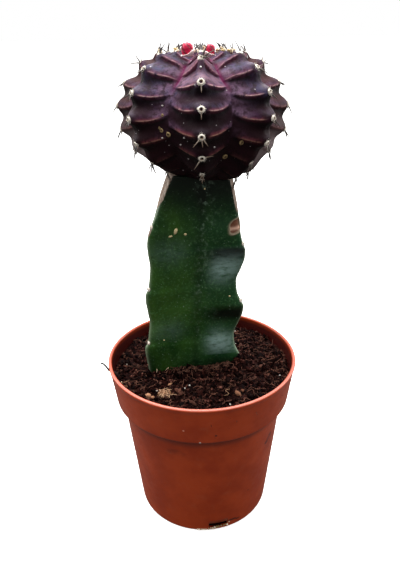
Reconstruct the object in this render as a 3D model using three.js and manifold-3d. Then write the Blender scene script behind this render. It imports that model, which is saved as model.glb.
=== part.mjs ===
// A potted moon cactus: a dark ribbed cactus head grafted on a three-ribbed green rootstock,
// which stands in the soil of a round plastic nursery pot.
// Millimetres, +Z up. The origin is the middle of the pot's base, and -Y is the plant's front.
import * as THREE from "three";
import { mergeVertices } from "three/addons/utils/BufferGeometryUtils.js";
import Module from "manifold-3d";

const wasm = await Module();
wasm.setup();

const GAP = 0.3; // clearance between two curved pieces that touch on the real plant
const SHORTEST_EDGE = 0.03; // shorter edges, left where two pieces are joined, are closed up
const FULL_TURN = 2 * Math.PI;

const POT = {
  sides: 56,
  height: 77.3,
  rimRadius: 42.5,
  collarHeight: 18.2,
  collarFootRadius: 39.9,
  shoulderHeight: 2.5,
  bodyTopRadius: 36.9,
  baseRadius: 31,
  edgeRadius: 1,
  lipRadius: 0.8,
  wall: 1.2,
  floor: 1.6,
};
const SLOT = { count: 4, firstTurn: 14, width: 9, bottom: 1.9, height: 3.4, depth: 8 }; // drain slots

const SOIL = {
  sides: 48,
  rings: 13,
  edgeHeight: 69.2,
  mound: 2.6, // how much higher the soil stands at the stem than at the wall
  lump: 0.9,
  outerStep: 0.6, // the outermost ring's distance from the wall, of one ring's width
  seed: 7,
};

// The slanting cut where head and rootstock meet: its height, where along X it has that height, how
// far it falls for each millimetre to the right, and the heights over which the slant fades out.
const GRAFT = { height: 160, middle: 0.9, slant: 0.13, fadeBelow: [130, 158], fadeAbove: [161, 169] };

const STEM = {
  columnsPerFace: 13,
  columnCrowding: 0.6, // how much the columns crowd towards the margins
  bottom: 34,
  soilHeight: 70,
  buriedTop: 64, // up to here the stem is a plain block
  firstRow: 67,
  axisAtSoil: [-4.5, 6],
  axisAtGraft: [0.3, 1.2],
  visibleRowHeight: 3.6,
  waveLength: 26.6,
  // A margin's wave from areole to areole, as [share of the way down, height from -1 to 1].
  waveShape: [[0.1, 1], [0.2, 0.9], [0.4, 0.05], [0.65, -1], [0.85, -0.65]],
  buriedReach: 19,
  apexRatio: 1.14, // the faces meet this much further out than the blunt margin
  endRatio: 1.03,
  bluntness: 14,
  shoulderHeights: [4, 8, 20], // above the top areole
  swellPlace: 0.16, // where a face swells most, as a share of its width from the margin
  swellStart: 0.1, // the margin itself doesn't swell
  swellDrop: 20.4, // how far under an areole the face beside it swells most
  swellFadeBelow: [60, 68],
  swellFadeAbove: [138, 150],
};
// Each rib, from the right one round the back: its direction, how far its margin reaches and
// spreads towards the soil, its waves and those of the faces beside it, its top areole, and the
// dip of the face that follows it. Its shoulder draws in above that areole, and a plane that
// faces trimTurn cuts it off under the graft.
const STEM_RIBS = [
  {
    turn: -16, reach: 19.6, spread: 2.2, wave: 1.9, swell: 0.85, topAreole: 131.4, areoleLevel: 0.3,
    trimTurn: -8, trimReach: 13.1, trimSlope: 0.29, faceDip: 0.22, shoulder: [1.4, 2.0, 2.9],
  },
  {
    turn: 98, reach: 20.5, spread: 1.5, wave: 1.4, swell: 0.6, topAreole: 135.6, areoleLevel: 0,
    trimTurn: 98, trimReach: 14, trimSlope: 0.4, faceDip: 0.22, shoulder: [1.6, 2.4, 3.4],
  },
  {
    turn: 210, reach: 23.2, spread: 0.4, wave: 1, swell: 0.35, topAreole: 140.1, areoleLevel: -0.3,
    trimTurn: 192, trimReach: 12.8, trimSlope: 0.44, faceDip: 0.07, shoulder: [2.6, 3.6, 4.5],
  },
];
const STEM_AREOLE = {
  radius: 1.2,
  spines: 2,
  rise: 0.4,
  length: 2.2,
  spineRadius: 0.25,
  lowest: 75,
  seed: 5,
};

const HEAD = {
  centre: new THREE.Vector3(1.2, 0, 183),
  columnsPerFlank: 3,
  rowsPerAreole: 4,
  neckRadius: 9.6,
  valleyDepth: 0.235, // of the ridge's radius
  ridgeRounding: 0.16,
  ribbed: [-78, -40], // the ribs fade out below these latitudes
  ribbedPower: 0.6, // and towards the crown by this power of the cosine
  scallop: 2.3, // how deep the ridge dips between two areoles
  lowScallop: 0.25, // what is left of that low on the head
  lowLatitudes: [-42, -12],
  scallopShape: { place: 0.8, depth: 0.9, width: 1.6 }, // powers that shape each dip
  bandStep: 1.35, // how far the flank steps in under each cross band
  bandShape: { fall: 1.4, width: 0.7, rows: 4 }, // powers that shape each step, and its start
};
// Where the ridges stand round the head, in degrees from the front, and how many rows higher each
// one's areoles stand than the rows of latitudes below.
const RIBS = [
  { turn: -0.5, phase: 0 },
  { turn: 49.5, phase: 0.5 },
  { turn: 93.5, phase: -0.28 },
  { turn: 137, phase: 0.45 },
  { turn: 180.5, phase: 0.05 },
  { turn: 224, phase: 0.5 },
  { turn: 265, phase: -0.22 },
  { turn: 308, phase: 0.5 },
];
const ROW_LATITUDES = [90, 70.5, 56, 42.5, 24.9, 9.2, -6.9, -23.3, -43.5, -57, -67];
// The ridge's distance from the head's centre against latitude, as [degrees, millimetres], and
// how much further out the ribs of the two sides stand.
const RIDGE_OUTLINE = [
  [-67, 25], [-57, 25.9], [-43.5, 27.1], [-33.5, 27.6], [-16, 30.3], [-6.7, 31.4], [5, 31.9], [17.5, 31.7],
  [32, 30.8], [38, 30.4], [44.5, 29.5], [52.5, 27.4], [66, 24.1], [78, 22.6], [90, 21.9],
];
const LEFT_FLARE = [[-67, 1], [-50, 2.4], [-35, 1.8], [-20, 1], [0, 0.5], [15, 0.3], [35, 0]];
const RIGHT_FLARE = [[-67, 0], [-50, 0.8], [-35, 2], [-20, 2.2], [0, 2], [15, 1.4], [35, 0]];
const AREOLE = { radius: 1.2, youngShare: 0.75, sunk: 0.45, rows: 9, lowest: -54 };
const SPINE = {
  radius: 0.3,
  shortest: 2.6,
  longest: 4,
  root: 1.4,
  lean: 48, // degrees away from the areole's own direction
  leanChange: 20,
  fan: 38, // degrees between neighbouring spines
  fanChange: 24,
  upwards: [20, 60], // over these latitudes the fan turns from downwards to upwards
  count: 3,
  seed: 21,
};
// Flower buds at the crown: where each stands, and its greatest radius and height.
const BUDS = [
  { name: "bud_left", x: -3.3, y: -13.6, radius: 2.15, height: 4.3 },
  { name: "bud_right", x: 4.3, y: -13.2, radius: 1.75, height: 3.6 },
];
const BUD_SEAT = { height: 203.9, depth: 5, footRadius: 1, margin: 0.35, sides: 10, clearance: 3 };

const MATERIALS = {
  pot: { color: 0x8c3a22, roughness: 0.45, metalness: 0 },
  soil: { color: 0x33231b, roughness: 0.95, metalness: 0 },
  rootstock: { color: 0x1d4423, roughness: 0.5, metalness: 0 },
  scion: { color: 0x3b2a35, roughness: 0.55, metalness: 0 },
  bud: { color: 0xc01f4a, roughness: 0.5, metalness: 0 },
};

const radians = THREE.MathUtils.degToRad;
const { lerp, smoothstep } = THREE.MathUtils;

// A repeatable stream of numbers from 0 to 1.
function seededRandom(seed) {
  let state = seed;
  return () => {
    state = (state * 1664525 + 1013904223) % 4294967296;
    return state / 4294967296;
  };
}

// The value at x of the broken line through pairs [x, value], whose x rises or falls throughout.
function along(pairs, x) {
  const rising = pairs[0][0] < pairs.at(-1)[0];
  const line = rising ? pairs : [...pairs].reverse();
  if (x <= line[0][0]) return line[0][1];
  for (let i = 1; i < line.length; i++) {
    const [x0, v0] = line[i - 1];
    const [x1, v1] = line[i];
    if (x <= x1) return lerp(v0, v1, (x - x0) / (x1 - x0));
  }
  return line.at(-1)[1];
}

function solidOf(geometry) {
  const bare = geometry.clone();
  bare.deleteAttribute("normal");
  bare.deleteAttribute("uv");
  const merged = mergeVertices(bare, 1e-4);
  return new wasm.Manifold(
    new wasm.Mesh({
      numProp: 3,
      vertProperties: merged.attributes.position.array,
      triVerts: new Uint32Array(merged.index.array),
    }),
  );
}

function meshOf(name, solid, look) {
  const mesh = solid.asOriginal().simplify(SHORTEST_EDGE).getMesh();
  const geometry = new THREE.BufferGeometry();
  const points = new Float32Array(mesh.vertProperties);
  geometry.setAttribute("position", new THREE.BufferAttribute(points, 3));
  geometry.setIndex(new THREE.BufferAttribute(new Uint32Array(mesh.triVerts), 1));
  geometry.computeVertexNormals();
  const piece = new THREE.Mesh(geometry, new THREE.MeshStandardMaterial(look));
  piece.name = name;
  return piece;
}

// A round body about +Z from a profile of [radius, height] that runs up its outside.
function turned(profile, sides) {
  const points = profile.map(([radius, height]) => new THREE.Vector2(radius, height));
  return solidOf(new THREE.LatheGeometry(points, sides).rotateX(Math.PI / 2));
}

// A closed body through rings of points, from the lowest ring to the highest. Each ring runs
// anticlockwise seen from above, and the two ends are closed to the points given.
function lofted(rings, lowEnd, highEnd) {
  const count = rings[0].length;
  const points = [...rings.flat(), lowEnd, highEnd];
  const low = points.length - 2;
  const high = points.length - 1;
  const faces = [];
  for (let column = 0; column < count; column++) {
    const next = (column + 1) % count;
    faces.push(low, next, column);
    for (let row = 0; row + 1 < rings.length; row++) {
      const here = row * count;
      const above = here + count;
      faces.push(here + column, here + next, above + next, here + column, above + next, above + column);
    }
    const last = (rings.length - 1) * count;
    faces.push(high, last + column, last + next);
  }
  const geometry = new THREE.BufferGeometry().setFromPoints(points);
  geometry.setIndex(faces);
  return solidOf(geometry);
}

// A slim three-sided spine from its root to its tip.
function spineSolid(root, tip, radius) {
  const way = tip.clone().sub(root);
  const cone = new THREE.ConeGeometry(radius, way.length(), 3, 1);
  cone.translate(0, way.length() / 2, 0);
  const upright = new THREE.Vector3(0, 1, 0);
  cone.applyQuaternion(new THREE.Quaternion().setFromUnitVectors(upright, way.normalize()));
  cone.translate(root.x, root.y, root.z);
  return solidOf(cone);
}

// A cushion of wool: a low-sided ball sunk in the skin, turned at random about its middle.
function woolSolid(place, radius, random) {
  const ball = new THREE.IcosahedronGeometry(radius, 0);
  const [x, y, z] = [random(), random(), random()].map((draw) => FULL_TURN * draw);
  ball.applyMatrix4(new THREE.Matrix4().makeRotationFromEuler(new THREE.Euler(x, y, z)));
  return solidOf(ball.translate(place.x, place.y, place.z));
}

const collarFoot = POT.height - POT.collarHeight;
const bodyTop = collarFoot - POT.shoulderHeight;

// The pot's inside radius at a height.
function innerRadius(height) {
  return along(
    [
      [POT.floor, POT.baseRadius - POT.wall],
      [bodyTop, POT.bodyTopRadius - POT.wall],
      [collarFoot, POT.collarFootRadius - POT.wall],
      [POT.height - POT.lipRadius, POT.rimRadius - 2 * POT.lipRadius],
    ],
    height,
  );
}

function makePot() {
  const outside = [
    [0, 0],
    [POT.baseRadius - POT.edgeRadius, 0],
    [POT.baseRadius, POT.edgeRadius],
    [POT.bodyTopRadius, bodyTop],
    [POT.collarFootRadius, collarFoot],
    [POT.rimRadius, POT.height - POT.lipRadius],
    [POT.rimRadius - POT.lipRadius, POT.height],
  ];
  const inside = [POT.height - POT.lipRadius, collarFoot, bodyTop, POT.floor];
  const profile = [...outside, ...inside.map((height) => [innerRadius(height), height]), [0, POT.floor]];
  let pot = turned(profile, POT.sides);
  for (let i = 0; i < SLOT.count; i++) {
    const cutter = new THREE.BoxGeometry(SLOT.width, SLOT.depth, SLOT.height);
    cutter.translate(0, -POT.baseRadius, SLOT.bottom + SLOT.height / 2);
    cutter.rotateZ(radians(SLOT.firstTurn + (360 / SLOT.count) * i));
    pot = pot.subtract(solidOf(cutter));
  }
  return pot;
}

function makeSoil() {
  const random = seededRandom(SOIL.seed);
  const ring = (radius, heightAt) =>
    Array.from({ length: SOIL.sides }, (_, i) => {
      const turn = (FULL_TURN * i) / SOIL.sides;
      return new THREE.Vector3(radius * Math.cos(turn), radius * Math.sin(turn), heightAt());
    });
  const sides = [POT.floor, bodyTop, collarFoot, SOIL.edgeHeight].map((height) =>
    ring(innerRadius(height) - GAP, () => height),
  );
  const surface = Array.from({ length: SOIL.rings }, (_, i) => {
    const share = 1 - (i + SOIL.outerStep) / (SOIL.rings + SOIL.outerStep);
    const height = SOIL.edgeHeight + SOIL.mound * (1 - share * share);
    return ring((innerRadius(SOIL.edgeHeight) - GAP) * share, () => height + SOIL.lump * (2 * random() - 1));
  });
  const middle = new THREE.Vector3(0, 0, SOIL.edgeHeight + SOIL.mound);
  const heap = lofted([...sides, ...surface], new THREE.Vector3(0, 0, POT.floor), middle);
  return heap.subtract(stemBody(SOIL.edgeHeight + 3 * SOIL.mound, GAP));
}

// A smooth rise from 0 at the low end of a range to 1 at its high end.
function between(value, [low, high]) {
  return smoothstep(value, low, high);
}

// The same point on the slant that head and rootstock share near the graft.
function slanted(point) {
  const share = between(point.z, GRAFT.fadeBelow) * (1 - between(point.z, GRAFT.fadeAbove));
  point.z -= GRAFT.slant * (point.x - GRAFT.middle) * share;
  return point;
}

// The stem's axis leans a little towards the front and the right as it rises.
function stemAxis(height) {
  const share = (height - STEM.soilHeight) / (GRAFT.height - STEM.soilHeight);
  const [x0, y0] = STEM.axisAtSoil;
  const [x1, y1] = STEM.axisAtGraft;
  return new THREE.Vector3(lerp(x0, x1, share), lerp(y0, y1, share), height);
}

// How far a rib's margin reaches at a height. Each wave steps out below an areole and draws in
// slowly down to the next, and the margin is plain above the top areole and under the soil.
function ribReach(rib, height) {
  if (height <= STEM.buriedTop) return STEM.buriedReach;
  const phase = Math.max(rib.topAreole - height, 0) / STEM.waveLength;
  const shape = [[0, rib.areoleLevel], ...STEM.waveShape, [1, rib.areoleLevel]];
  const share = (GRAFT.height - height) / (GRAFT.height - STEM.soilHeight);
  return rib.reach + rib.spread * share + rib.wave * (along(shape, phase % 1) - 0.5);
}

// How far the blunt end of a margin draws in above its top areole.
function shoulderAt(rib, height) {
  const line = STEM.shoulderHeights.map((above, i) => [above, rib.shoulder[i]]);
  return along([[0, 0], ...line], height - rib.topAreole);
}

// How far the plane that trims a rib lies from the axis in a direction.
function trimAt(rib, turn, height) {
  const facing = Math.cos(turn - radians(rib.trimTurn));
  const distance = rib.trimReach + rib.trimSlope * (GRAFT.height - height);
  return facing > 0 ? distance / facing : Infinity;
}

// The two ribs on either side of a direction, and how far between them it lies.
function faceAt(turn) {
  for (const [i, first] of STEM_RIBS.entries()) {
    const second = STEM_RIBS[(i + 1) % STEM_RIBS.length];
    const span = (radians(second.turn - first.turn) + FULL_TURN) % FULL_TURN;
    const into = (turn - radians(first.turn) + FULL_TURN) % FULL_TURN;
    if (into <= span) return { first, second, span, share: into / span };
  }
  throw new Error("no face of the stem lies in that direction");
}

// A point of the stem's skin, moved outwards by a margin. The faces are straight between the ribs
// and dipped in the middle, and each margin is cut off bluntly and trimmed at the top.
function stemPoint(turn, height, margin) {
  const { first, second, span, share } = faceAt(turn);
  const ribs = [first, second];
  const reaches = ribs.map((rib) => ribReach(rib, height));
  const ends = ribs.map((rib, i) => STEM.endRatio * (reaches[i] - shoulderAt(rib, height)));
  const [a, b] = reaches.map((reach) => STEM.apexRatio * reach);
  const face = (a * b * Math.sin(span)) / (a * Math.sin(span * share) + b * Math.sin(span * (1 - share)));
  const dipped = face * (1 - first.faceDip * Math.sin(Math.PI * share));
  const limits = [dipped, lerp(ends[0], ends[1], share), ...ribs.map((rib) => trimAt(rib, turn, height))];
  const least = limits.reduce((sum, limit) => sum + limit ** -STEM.bluntness, 0) ** (-1 / STEM.bluntness);
  const fade = between(height, STEM.swellFadeBelow) * (1 - between(height, STEM.swellFadeAbove));
  const swell = ribs.reduce((sum, rib, i) => {
    const off = i === 0 ? share : 1 - share;
    const wave = Math.cos((FULL_TURN * (height - rib.topAreole + STEM.swellDrop)) / STEM.waveLength);
    const bell = Math.exp(-(((off - STEM.swellPlace) / STEM.swellPlace) ** 2));
    return sum + fade * rib.swell * wave * bell * smoothstep(off, 0, STEM.swellStart);
  }, 0);
  const outwards = radians(first.turn) + span / 2;
  const point = stemAxis(height);
  point.x += (least + margin) * Math.cos(turn) + swell * Math.cos(outwards);
  point.y += (least + margin) * Math.sin(turn) + swell * Math.sin(outwards);
  return slanted(point);
}

// Directions round the stem, with one on each margin and more of them near it than mid-face.
const STEM_TURNS = STEM_RIBS.flatMap((rib, i) => {
  const next = STEM_RIBS[(i + 1) % STEM_RIBS.length];
  const span = (next.turn - rib.turn + 360) % 360;
  return Array.from({ length: STEM.columnsPerFace }, (_, column) => {
    const share = column / STEM.columnsPerFace;
    const crowded = share - (STEM.columnCrowding * Math.sin(FULL_TURN * share)) / FULL_TURN;
    return radians(rib.turn + span * crowded);
  });
});

// The stem from its buried end up to a height, grown outwards by a margin.
function stemBody(top, margin) {
  const rows = Math.round((top - STEM.soilHeight) / STEM.visibleRowHeight);
  const heights = [STEM.bottom, STEM.buriedTop];
  for (let row = 0; row <= rows; row++) {
    heights.push(lerp(STEM.firstRow, top, row / rows));
  }
  const rings = heights.map((height) => STEM_TURNS.map((turn) => stemPoint(turn, height, margin)));
  return lofted(rings, stemAxis(STEM.bottom), slanted(stemAxis(top)));
}

// Each margin carries an areole at the top of every wave, with two short spines.
function stemAreoles() {
  const random = seededRandom(STEM_AREOLE.seed);
  const solids = [];
  for (const rib of STEM_RIBS) {
    const turn = radians(rib.turn);
    const out = new THREE.Vector3(Math.cos(turn), Math.sin(turn), 0);
    for (let height = rib.topAreole; height > STEM_AREOLE.lowest; height -= STEM.waveLength) {
      const place = stemPoint(turn, height, -STEM_AREOLE.radius / 2);
      solids.push(woolSolid(place, STEM_AREOLE.radius, random));
      for (let i = 0; i < STEM_AREOLE.spines; i++) {
        const way = out.clone().setZ(i - STEM_AREOLE.rise).normalize();
        const root = place.clone().addScaledVector(way, -STEM_AREOLE.radius / 2);
        const tip = place.clone().addScaledVector(way, STEM_AREOLE.length);
        solids.push(spineSolid(root, tip, STEM_AREOLE.spineRadius));
      }
    }
  }
  return solids;
}

function makeRootstock() {
  return wasm.Manifold.union([stemBody(GRAFT.height, 0), ...stemAreoles()]);
}

// The direction of a ridge, counted on round the head.
function ribTurn(i) {
  return RIBS[i % RIBS.length].turn + 360 * Math.floor(i / RIBS.length);
}

// Which rib a direction round the head belongs to, and how far it lies from ridge to valley.
function ribAt(turn) {
  for (let i = 0; i < RIBS.length; i++) {
    if (turn <= ribTurn(i + 1)) {
      const share = (turn - ribTurn(i)) / (ribTurn(i + 1) - ribTurn(i));
      const nearest = RIBS[(share < 0.5 ? i : i + 1) % RIBS.length];
      return { rib: nearest, off: 2 * Math.min(share, 1 - share) };
    }
  }
  throw new Error("directions round the head run from its first ridge on");
}

// A latitude as a count of areole rows below the crown.
function rowOf(latitude) {
  return along(ROW_LATITUDES.map((value, row) => [value, row]), latitude);
}

// The head's skin: a ridge and two straight flanks for each rib. The ridge dips between areoles,
// and each flank swells down to a band at the areole's height and steps in below it.
function headRadius(turn, latitude) {
  const { rib, off } = ribAt(turn);
  const sideways = Math.sin(radians(turn));
  const flare = sideways ** 4 * along(sideways > 0 ? RIGHT_FLARE : LEFT_FLARE, latitude);
  const ridge = along(RIDGE_OUTLINE, latitude) + flare;
  const open = Math.cos(radians(latitude)) ** HEAD.ribbedPower * between(latitude, HEAD.ribbed);
  const rounding = HEAD.ridgeRounding;
  const slope = (Math.hypot(off, rounding) - rounding) / (Math.hypot(1, rounding) - rounding);
  const row = rowOf(latitude) + rib.phase;
  const below = row - Math.floor(row);
  const { place, depth, width } = HEAD.scallopShape;
  const lowness = lerp(HEAD.lowScallop, 1, between(latitude, HEAD.lowLatitudes));
  const dip = Math.sin(Math.PI * below ** place) ** depth * (1 - off) ** width * lowness;
  const band = HEAD.bandShape;
  const start = Math.min(1, band.rows * below);
  const step = (1 - below) ** band.fall * start * Math.sin(Math.PI * off) ** band.width;
  return ridge * (1 - HEAD.valleyDepth * open * slope) - (HEAD.scallop * dip + HEAD.bandStep * step) * open;
}

function headDirection(turn, latitude) {
  const flat = Math.cos(radians(latitude));
  return new THREE.Vector3(
    flat * Math.sin(radians(turn)),
    -flat * Math.cos(radians(turn)),
    Math.sin(radians(latitude)),
  );
}

// A point of the head's skin. The head ends at the graft.
function headPoint(turn, latitude) {
  const point = headDirection(turn, latitude).multiplyScalar(headRadius(turn, latitude)).add(HEAD.centre);
  return slanted(point.setZ(Math.max(point.z, GRAFT.height)));
}

function headBody() {
  const steps = 2 * HEAD.columnsPerFlank;
  const turns = RIBS.flatMap((_, i) =>
    Array.from({ length: steps }, (_, step) => lerp(ribTurn(i), ribTurn(i + 1), step / steps)),
  );
  const foot = new THREE.Vector3(HEAD.centre.x, HEAD.centre.y, GRAFT.height);
  const neckPoint = (turn) => slanted(headDirection(turn, 0).multiplyScalar(HEAD.neckRadius).add(foot));
  const rows = [turns.map(neckPoint)];
  const pairs = ROW_LATITUDES.map((value, row) => [row, value]);
  const lowest = ROW_LATITUDES.length - 1;
  for (let step = lowest * HEAD.rowsPerAreole - 2; step > 0; step--) {
    const latitude = along(pairs, step / HEAD.rowsPerAreole);
    rows.push(turns.map((turn) => headPoint(turn, latitude)));
  }
  return lofted(rows, slanted(foot.clone()), headPoint(ribTurn(0), 90));
}

// Wool and spines on every areole. Spines fan out downwards, and upwards over the crown. Low on
// the head only the front rib has areoles, because the rootstock is in the way of the others.
function headAreoles() {
  const random = seededRandom(SPINE.seed);
  const pairs = ROW_LATITUDES.map((value, row) => [row, value]);
  const solids = [];
  for (const [rib, { turn, phase }] of RIBS.entries()) {
    for (let i = 1; i <= AREOLE.rows; i++) {
      const latitude = along(pairs, i - phase);
      if (latitude < AREOLE.lowest && rib > 0) continue;
      const out = headDirection(turn, latitude);
      const place = headPoint(turn, latitude).addScaledVector(out, -AREOLE.sunk);
      solids.push(woolSolid(place, AREOLE.radius * (i > 1 ? 1 : AREOLE.youngShare), random));
      const down = headDirection(turn, latitude - 90);
      const side = new THREE.Vector3().crossVectors(out, down);
      const drift = 180 * between(latitude, SPINE.upwards);
      for (let k = 0; k < SPINE.count; k++) {
        const fan = (k - (SPINE.count - 1) / 2) * SPINE.fan + SPINE.fanChange * (random() - 0.5);
        const angle = radians(drift + fan);
        const lean = radians(SPINE.lean + SPINE.leanChange * (random() - 0.5));
        const length = lerp(SPINE.shortest, SPINE.longest, random());
        const way = out.clone().multiplyScalar(Math.cos(lean));
        way.addScaledVector(down, Math.sin(lean) * Math.cos(angle));
        way.addScaledVector(side, Math.sin(lean) * Math.sin(angle));
        const root = place.clone().addScaledVector(out, -SPINE.root / 2);
        const tip = place.clone().addScaledVector(way, length + AREOLE.radius / 2);
        solids.push(spineSolid(root, tip, SPINE.radius));
      }
    }
  }
  return solids;
}

// A short flat-topped stalk under each bud, and the free space that the bud fills above it.
function budSeats() {
  const { height, depth, footRadius, margin, sides } = BUD_SEAT;
  return BUDS.map((bud) => {
    const stalk = new THREE.CylinderGeometry(bud.radius + margin, footRadius, depth, sides);
    return solidOf(stalk.rotateX(Math.PI / 2).translate(bud.x, bud.y, height - depth / 2));
  });
}

function budClearances() {
  return BUDS.map((bud) => {
    const radius = bud.radius + BUD_SEAT.margin;
    const depth = BUD_SEAT.clearance * bud.height;
    const space = new THREE.CylinderGeometry(radius, radius, depth, BUD_SEAT.sides);
    return solidOf(space.rotateX(Math.PI / 2).translate(bud.x, bud.y, BUD_SEAT.height + depth / 2));
  });
}

function makeScion() {
  const grown = wasm.Manifold.union([headBody(), ...headAreoles(), ...budSeats()]);
  const pieces = wasm.Manifold.difference([grown, ...budClearances()]).decompose();
  return pieces.reduce((largest, piece) => (piece.volume() > largest.volume() ? piece : largest));
}

// An unopened bud: a flat foot, round sides and a blunt point.
function makeBud({ x, y, radius, height }) {
  const outline = [
    [0, 0],
    [0.62, 0],
    [0.93, 0.2],
    [1, 0.45],
    [0.84, 0.74],
    [0.48, 0.94],
    [0, 1],
  ];
  const bud = turned(outline.map(([r, h]) => [r * radius, h * height]), BUD_SEAT.sides);
  return bud.translate([x, y, BUD_SEAT.height]);
}

const cactus = new THREE.Group();
cactus.add(
  meshOf("pot", makePot(), MATERIALS.pot),
  meshOf("soil", makeSoil(), MATERIALS.soil),
  meshOf("rootstock", makeRootstock(), MATERIALS.rootstock),
  meshOf("scion", makeScion(), MATERIALS.scion),
  ...BUDS.map((bud) => meshOf(bud.name, makeBud(bud), MATERIALS.bud)),
);

export default cactus;
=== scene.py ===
"""A potted moon cactus: a dark ribbed head grafted on a green stem, in a plastic nursery pot.

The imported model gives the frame. Each part of the plant is a class, which works its surfaces out
with numpy, dresses them and lets them stand for the plain solid of that part.
Sizes and places are millimetres, X to the right, Y away from the camera and Z up from the surface
that the pot stands on. Meshes are written in metres. Directions round the head are degrees from
its front, and directions round the stem and the pot are degrees from +X.
"""

from __future__ import annotations

import logging
from dataclasses import dataclass, field
from enum import Enum
from itertools import combinations
from typing import Any

import bpy
import numpy as np
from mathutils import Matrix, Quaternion, Vector
from numpy.typing import ArrayLike, NDArray

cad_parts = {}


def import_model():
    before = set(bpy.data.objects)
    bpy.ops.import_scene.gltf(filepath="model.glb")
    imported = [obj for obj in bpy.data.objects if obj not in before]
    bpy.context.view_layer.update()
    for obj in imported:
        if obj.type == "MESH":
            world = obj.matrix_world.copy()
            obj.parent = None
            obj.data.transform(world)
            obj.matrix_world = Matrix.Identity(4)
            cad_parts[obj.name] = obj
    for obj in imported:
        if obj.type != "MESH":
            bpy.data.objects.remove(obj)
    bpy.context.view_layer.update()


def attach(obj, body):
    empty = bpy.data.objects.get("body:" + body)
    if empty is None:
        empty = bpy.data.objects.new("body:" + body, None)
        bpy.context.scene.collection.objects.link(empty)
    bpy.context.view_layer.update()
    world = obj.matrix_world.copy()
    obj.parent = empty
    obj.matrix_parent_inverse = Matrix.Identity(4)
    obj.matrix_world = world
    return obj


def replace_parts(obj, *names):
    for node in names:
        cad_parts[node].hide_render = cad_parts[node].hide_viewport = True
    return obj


Array = NDArray[np.float64]
Index = NDArray[np.int64]
Reals = Array | float
Pair = tuple[float, float]
Triple = tuple[float, float, float]
Numbers = tuple[float, ...]
Skin = tuple[Array, dict[str, Array]]  # points, and the attributes that a finish reads at them
Inputs = dict[str | int, Any]  # a node's inputs by name or number
Draws = np.random.Generator
Material = bpy.types.Material
Socket = bpy.types.NodeSocket

LOG = logging.getLogger("moon_cactus")
BODY = "root"
METRES = 0.001  # one millimetre
FULL_TURN = 2 * np.pi
UP = np.array([0.0, 0.0, 1.0])
GRAFT_HEIGHT = 160.0  # where head and stem were joined
GRAFT_MIDDLE = 0.9  # where the slanting graft has that height
GRAFT_SLANT = 0.13  # how far the graft falls for each millimetre to the right
SLANT_COMES = (GRAFT_HEIGHT - 30, GRAFT_HEIGHT - 2)  # the heights between which the slant comes
SLANT_GOES = (GRAFT_HEIGHT + 1, GRAFT_HEIGHT + 9)  # and those between which it goes again


class Slot(Enum):
    """The record's material slots."""

    POT = "pot_plastic"
    SOIL = "potting_soil"
    STEM = "green_stem"
    HEAD = "dark_skin"
    BUD = "flower_bud"


# Numbers and surfaces


def smooth_line(places: Numbers, values: Numbers, at: Array) -> Array:
    """Draw a smooth curve through points that overshoots none of them.

    Between two points the curve is a cubic with the mean of the neighbouring slopes at each end,
    or level where they differ in sign.

    Args:
        places: Rising positions of the points.
        values: The curve's value at each of them.
        at: Where the curve is read. Past either end it keeps the end's value.

    Returns:
        The curve's value at each position.
    """
    x, y = np.array(places, float), np.array(values, float)
    steps = np.diff(y) / np.diff(x)
    both = steps[:-1] * steps[1:]
    inner = np.where(both > 0, 2 * both / np.where(both > 0, steps[:-1] + steps[1:], 1.0), 0.0)
    slopes = np.concatenate([steps[:1], inner, steps[-1:]])
    where = np.clip(np.asarray(at, float), x[0], x[-1])
    left = np.clip(np.searchsorted(x, where, side="right") - 1, 0, len(x) - 2)
    width = x[left + 1] - x[left]
    part = (where - x[left]) / width
    rise = part * part * (3 - 2 * part)
    ends = y[left] * (1 - rise) + y[left + 1] * rise
    out_slope = slopes[left] * width * part * (1 - part) ** 2
    in_slope = slopes[left + 1] * width * part**2 * (part - 1)
    return ends + out_slope + in_slope


def ramp(value: Reals, low: float, high: float) -> Array:
    """Rise smoothly from 0 at low to 1 at high."""
    part = np.clip((np.asarray(value, float) - low) / (high - low), 0.0, 1.0)
    return part * part * (3 - 2 * part)


def hump(distance: Array, width: float) -> Array:
    """A bell that is 1 at distance 0 and falls to about a third at the width."""
    return np.exp(-((distance / width) ** 2))


def unit(vectors: Array) -> Array:
    """Vectors of length 1 along the given ones."""
    return vectors / np.maximum(np.linalg.norm(vectors, axis=-1, keepdims=True), 1e-12)


def all_round(count: int) -> Array:
    """Directions in radians that share a full turn evenly."""
    return FULL_TURN * np.arange(count) / count


def around(radius: Reals, turn: Reals, height: Reals) -> Array:
    """Points at a distance from the vertical axis, in a direction in radians, at a height."""
    places = np.broadcast_arrays(radius * np.cos(turn), radius * np.sin(turn), height)
    return np.stack(places, axis=-1)


def row_between(start: Numbers, end: Numbers, count: int) -> Array:
    """Points in a straight row from one place to another, evenly spaced."""
    return np.array(start) + np.subtract(end, start) * np.linspace(0, 1, count)[:, None]


def slanted(points: Array) -> Array:
    """The points with the graft slanted: near its height they rise on the left and fall on the right."""
    x, z = points[..., 0], points[..., 2]
    near = ramp(z, *SLANT_COMES) * (1 - ramp(z, *SLANT_GOES))
    return points - UP * (GRAFT_SLANT * (x - GRAFT_MIDDLE) * near)[..., None]


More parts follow.
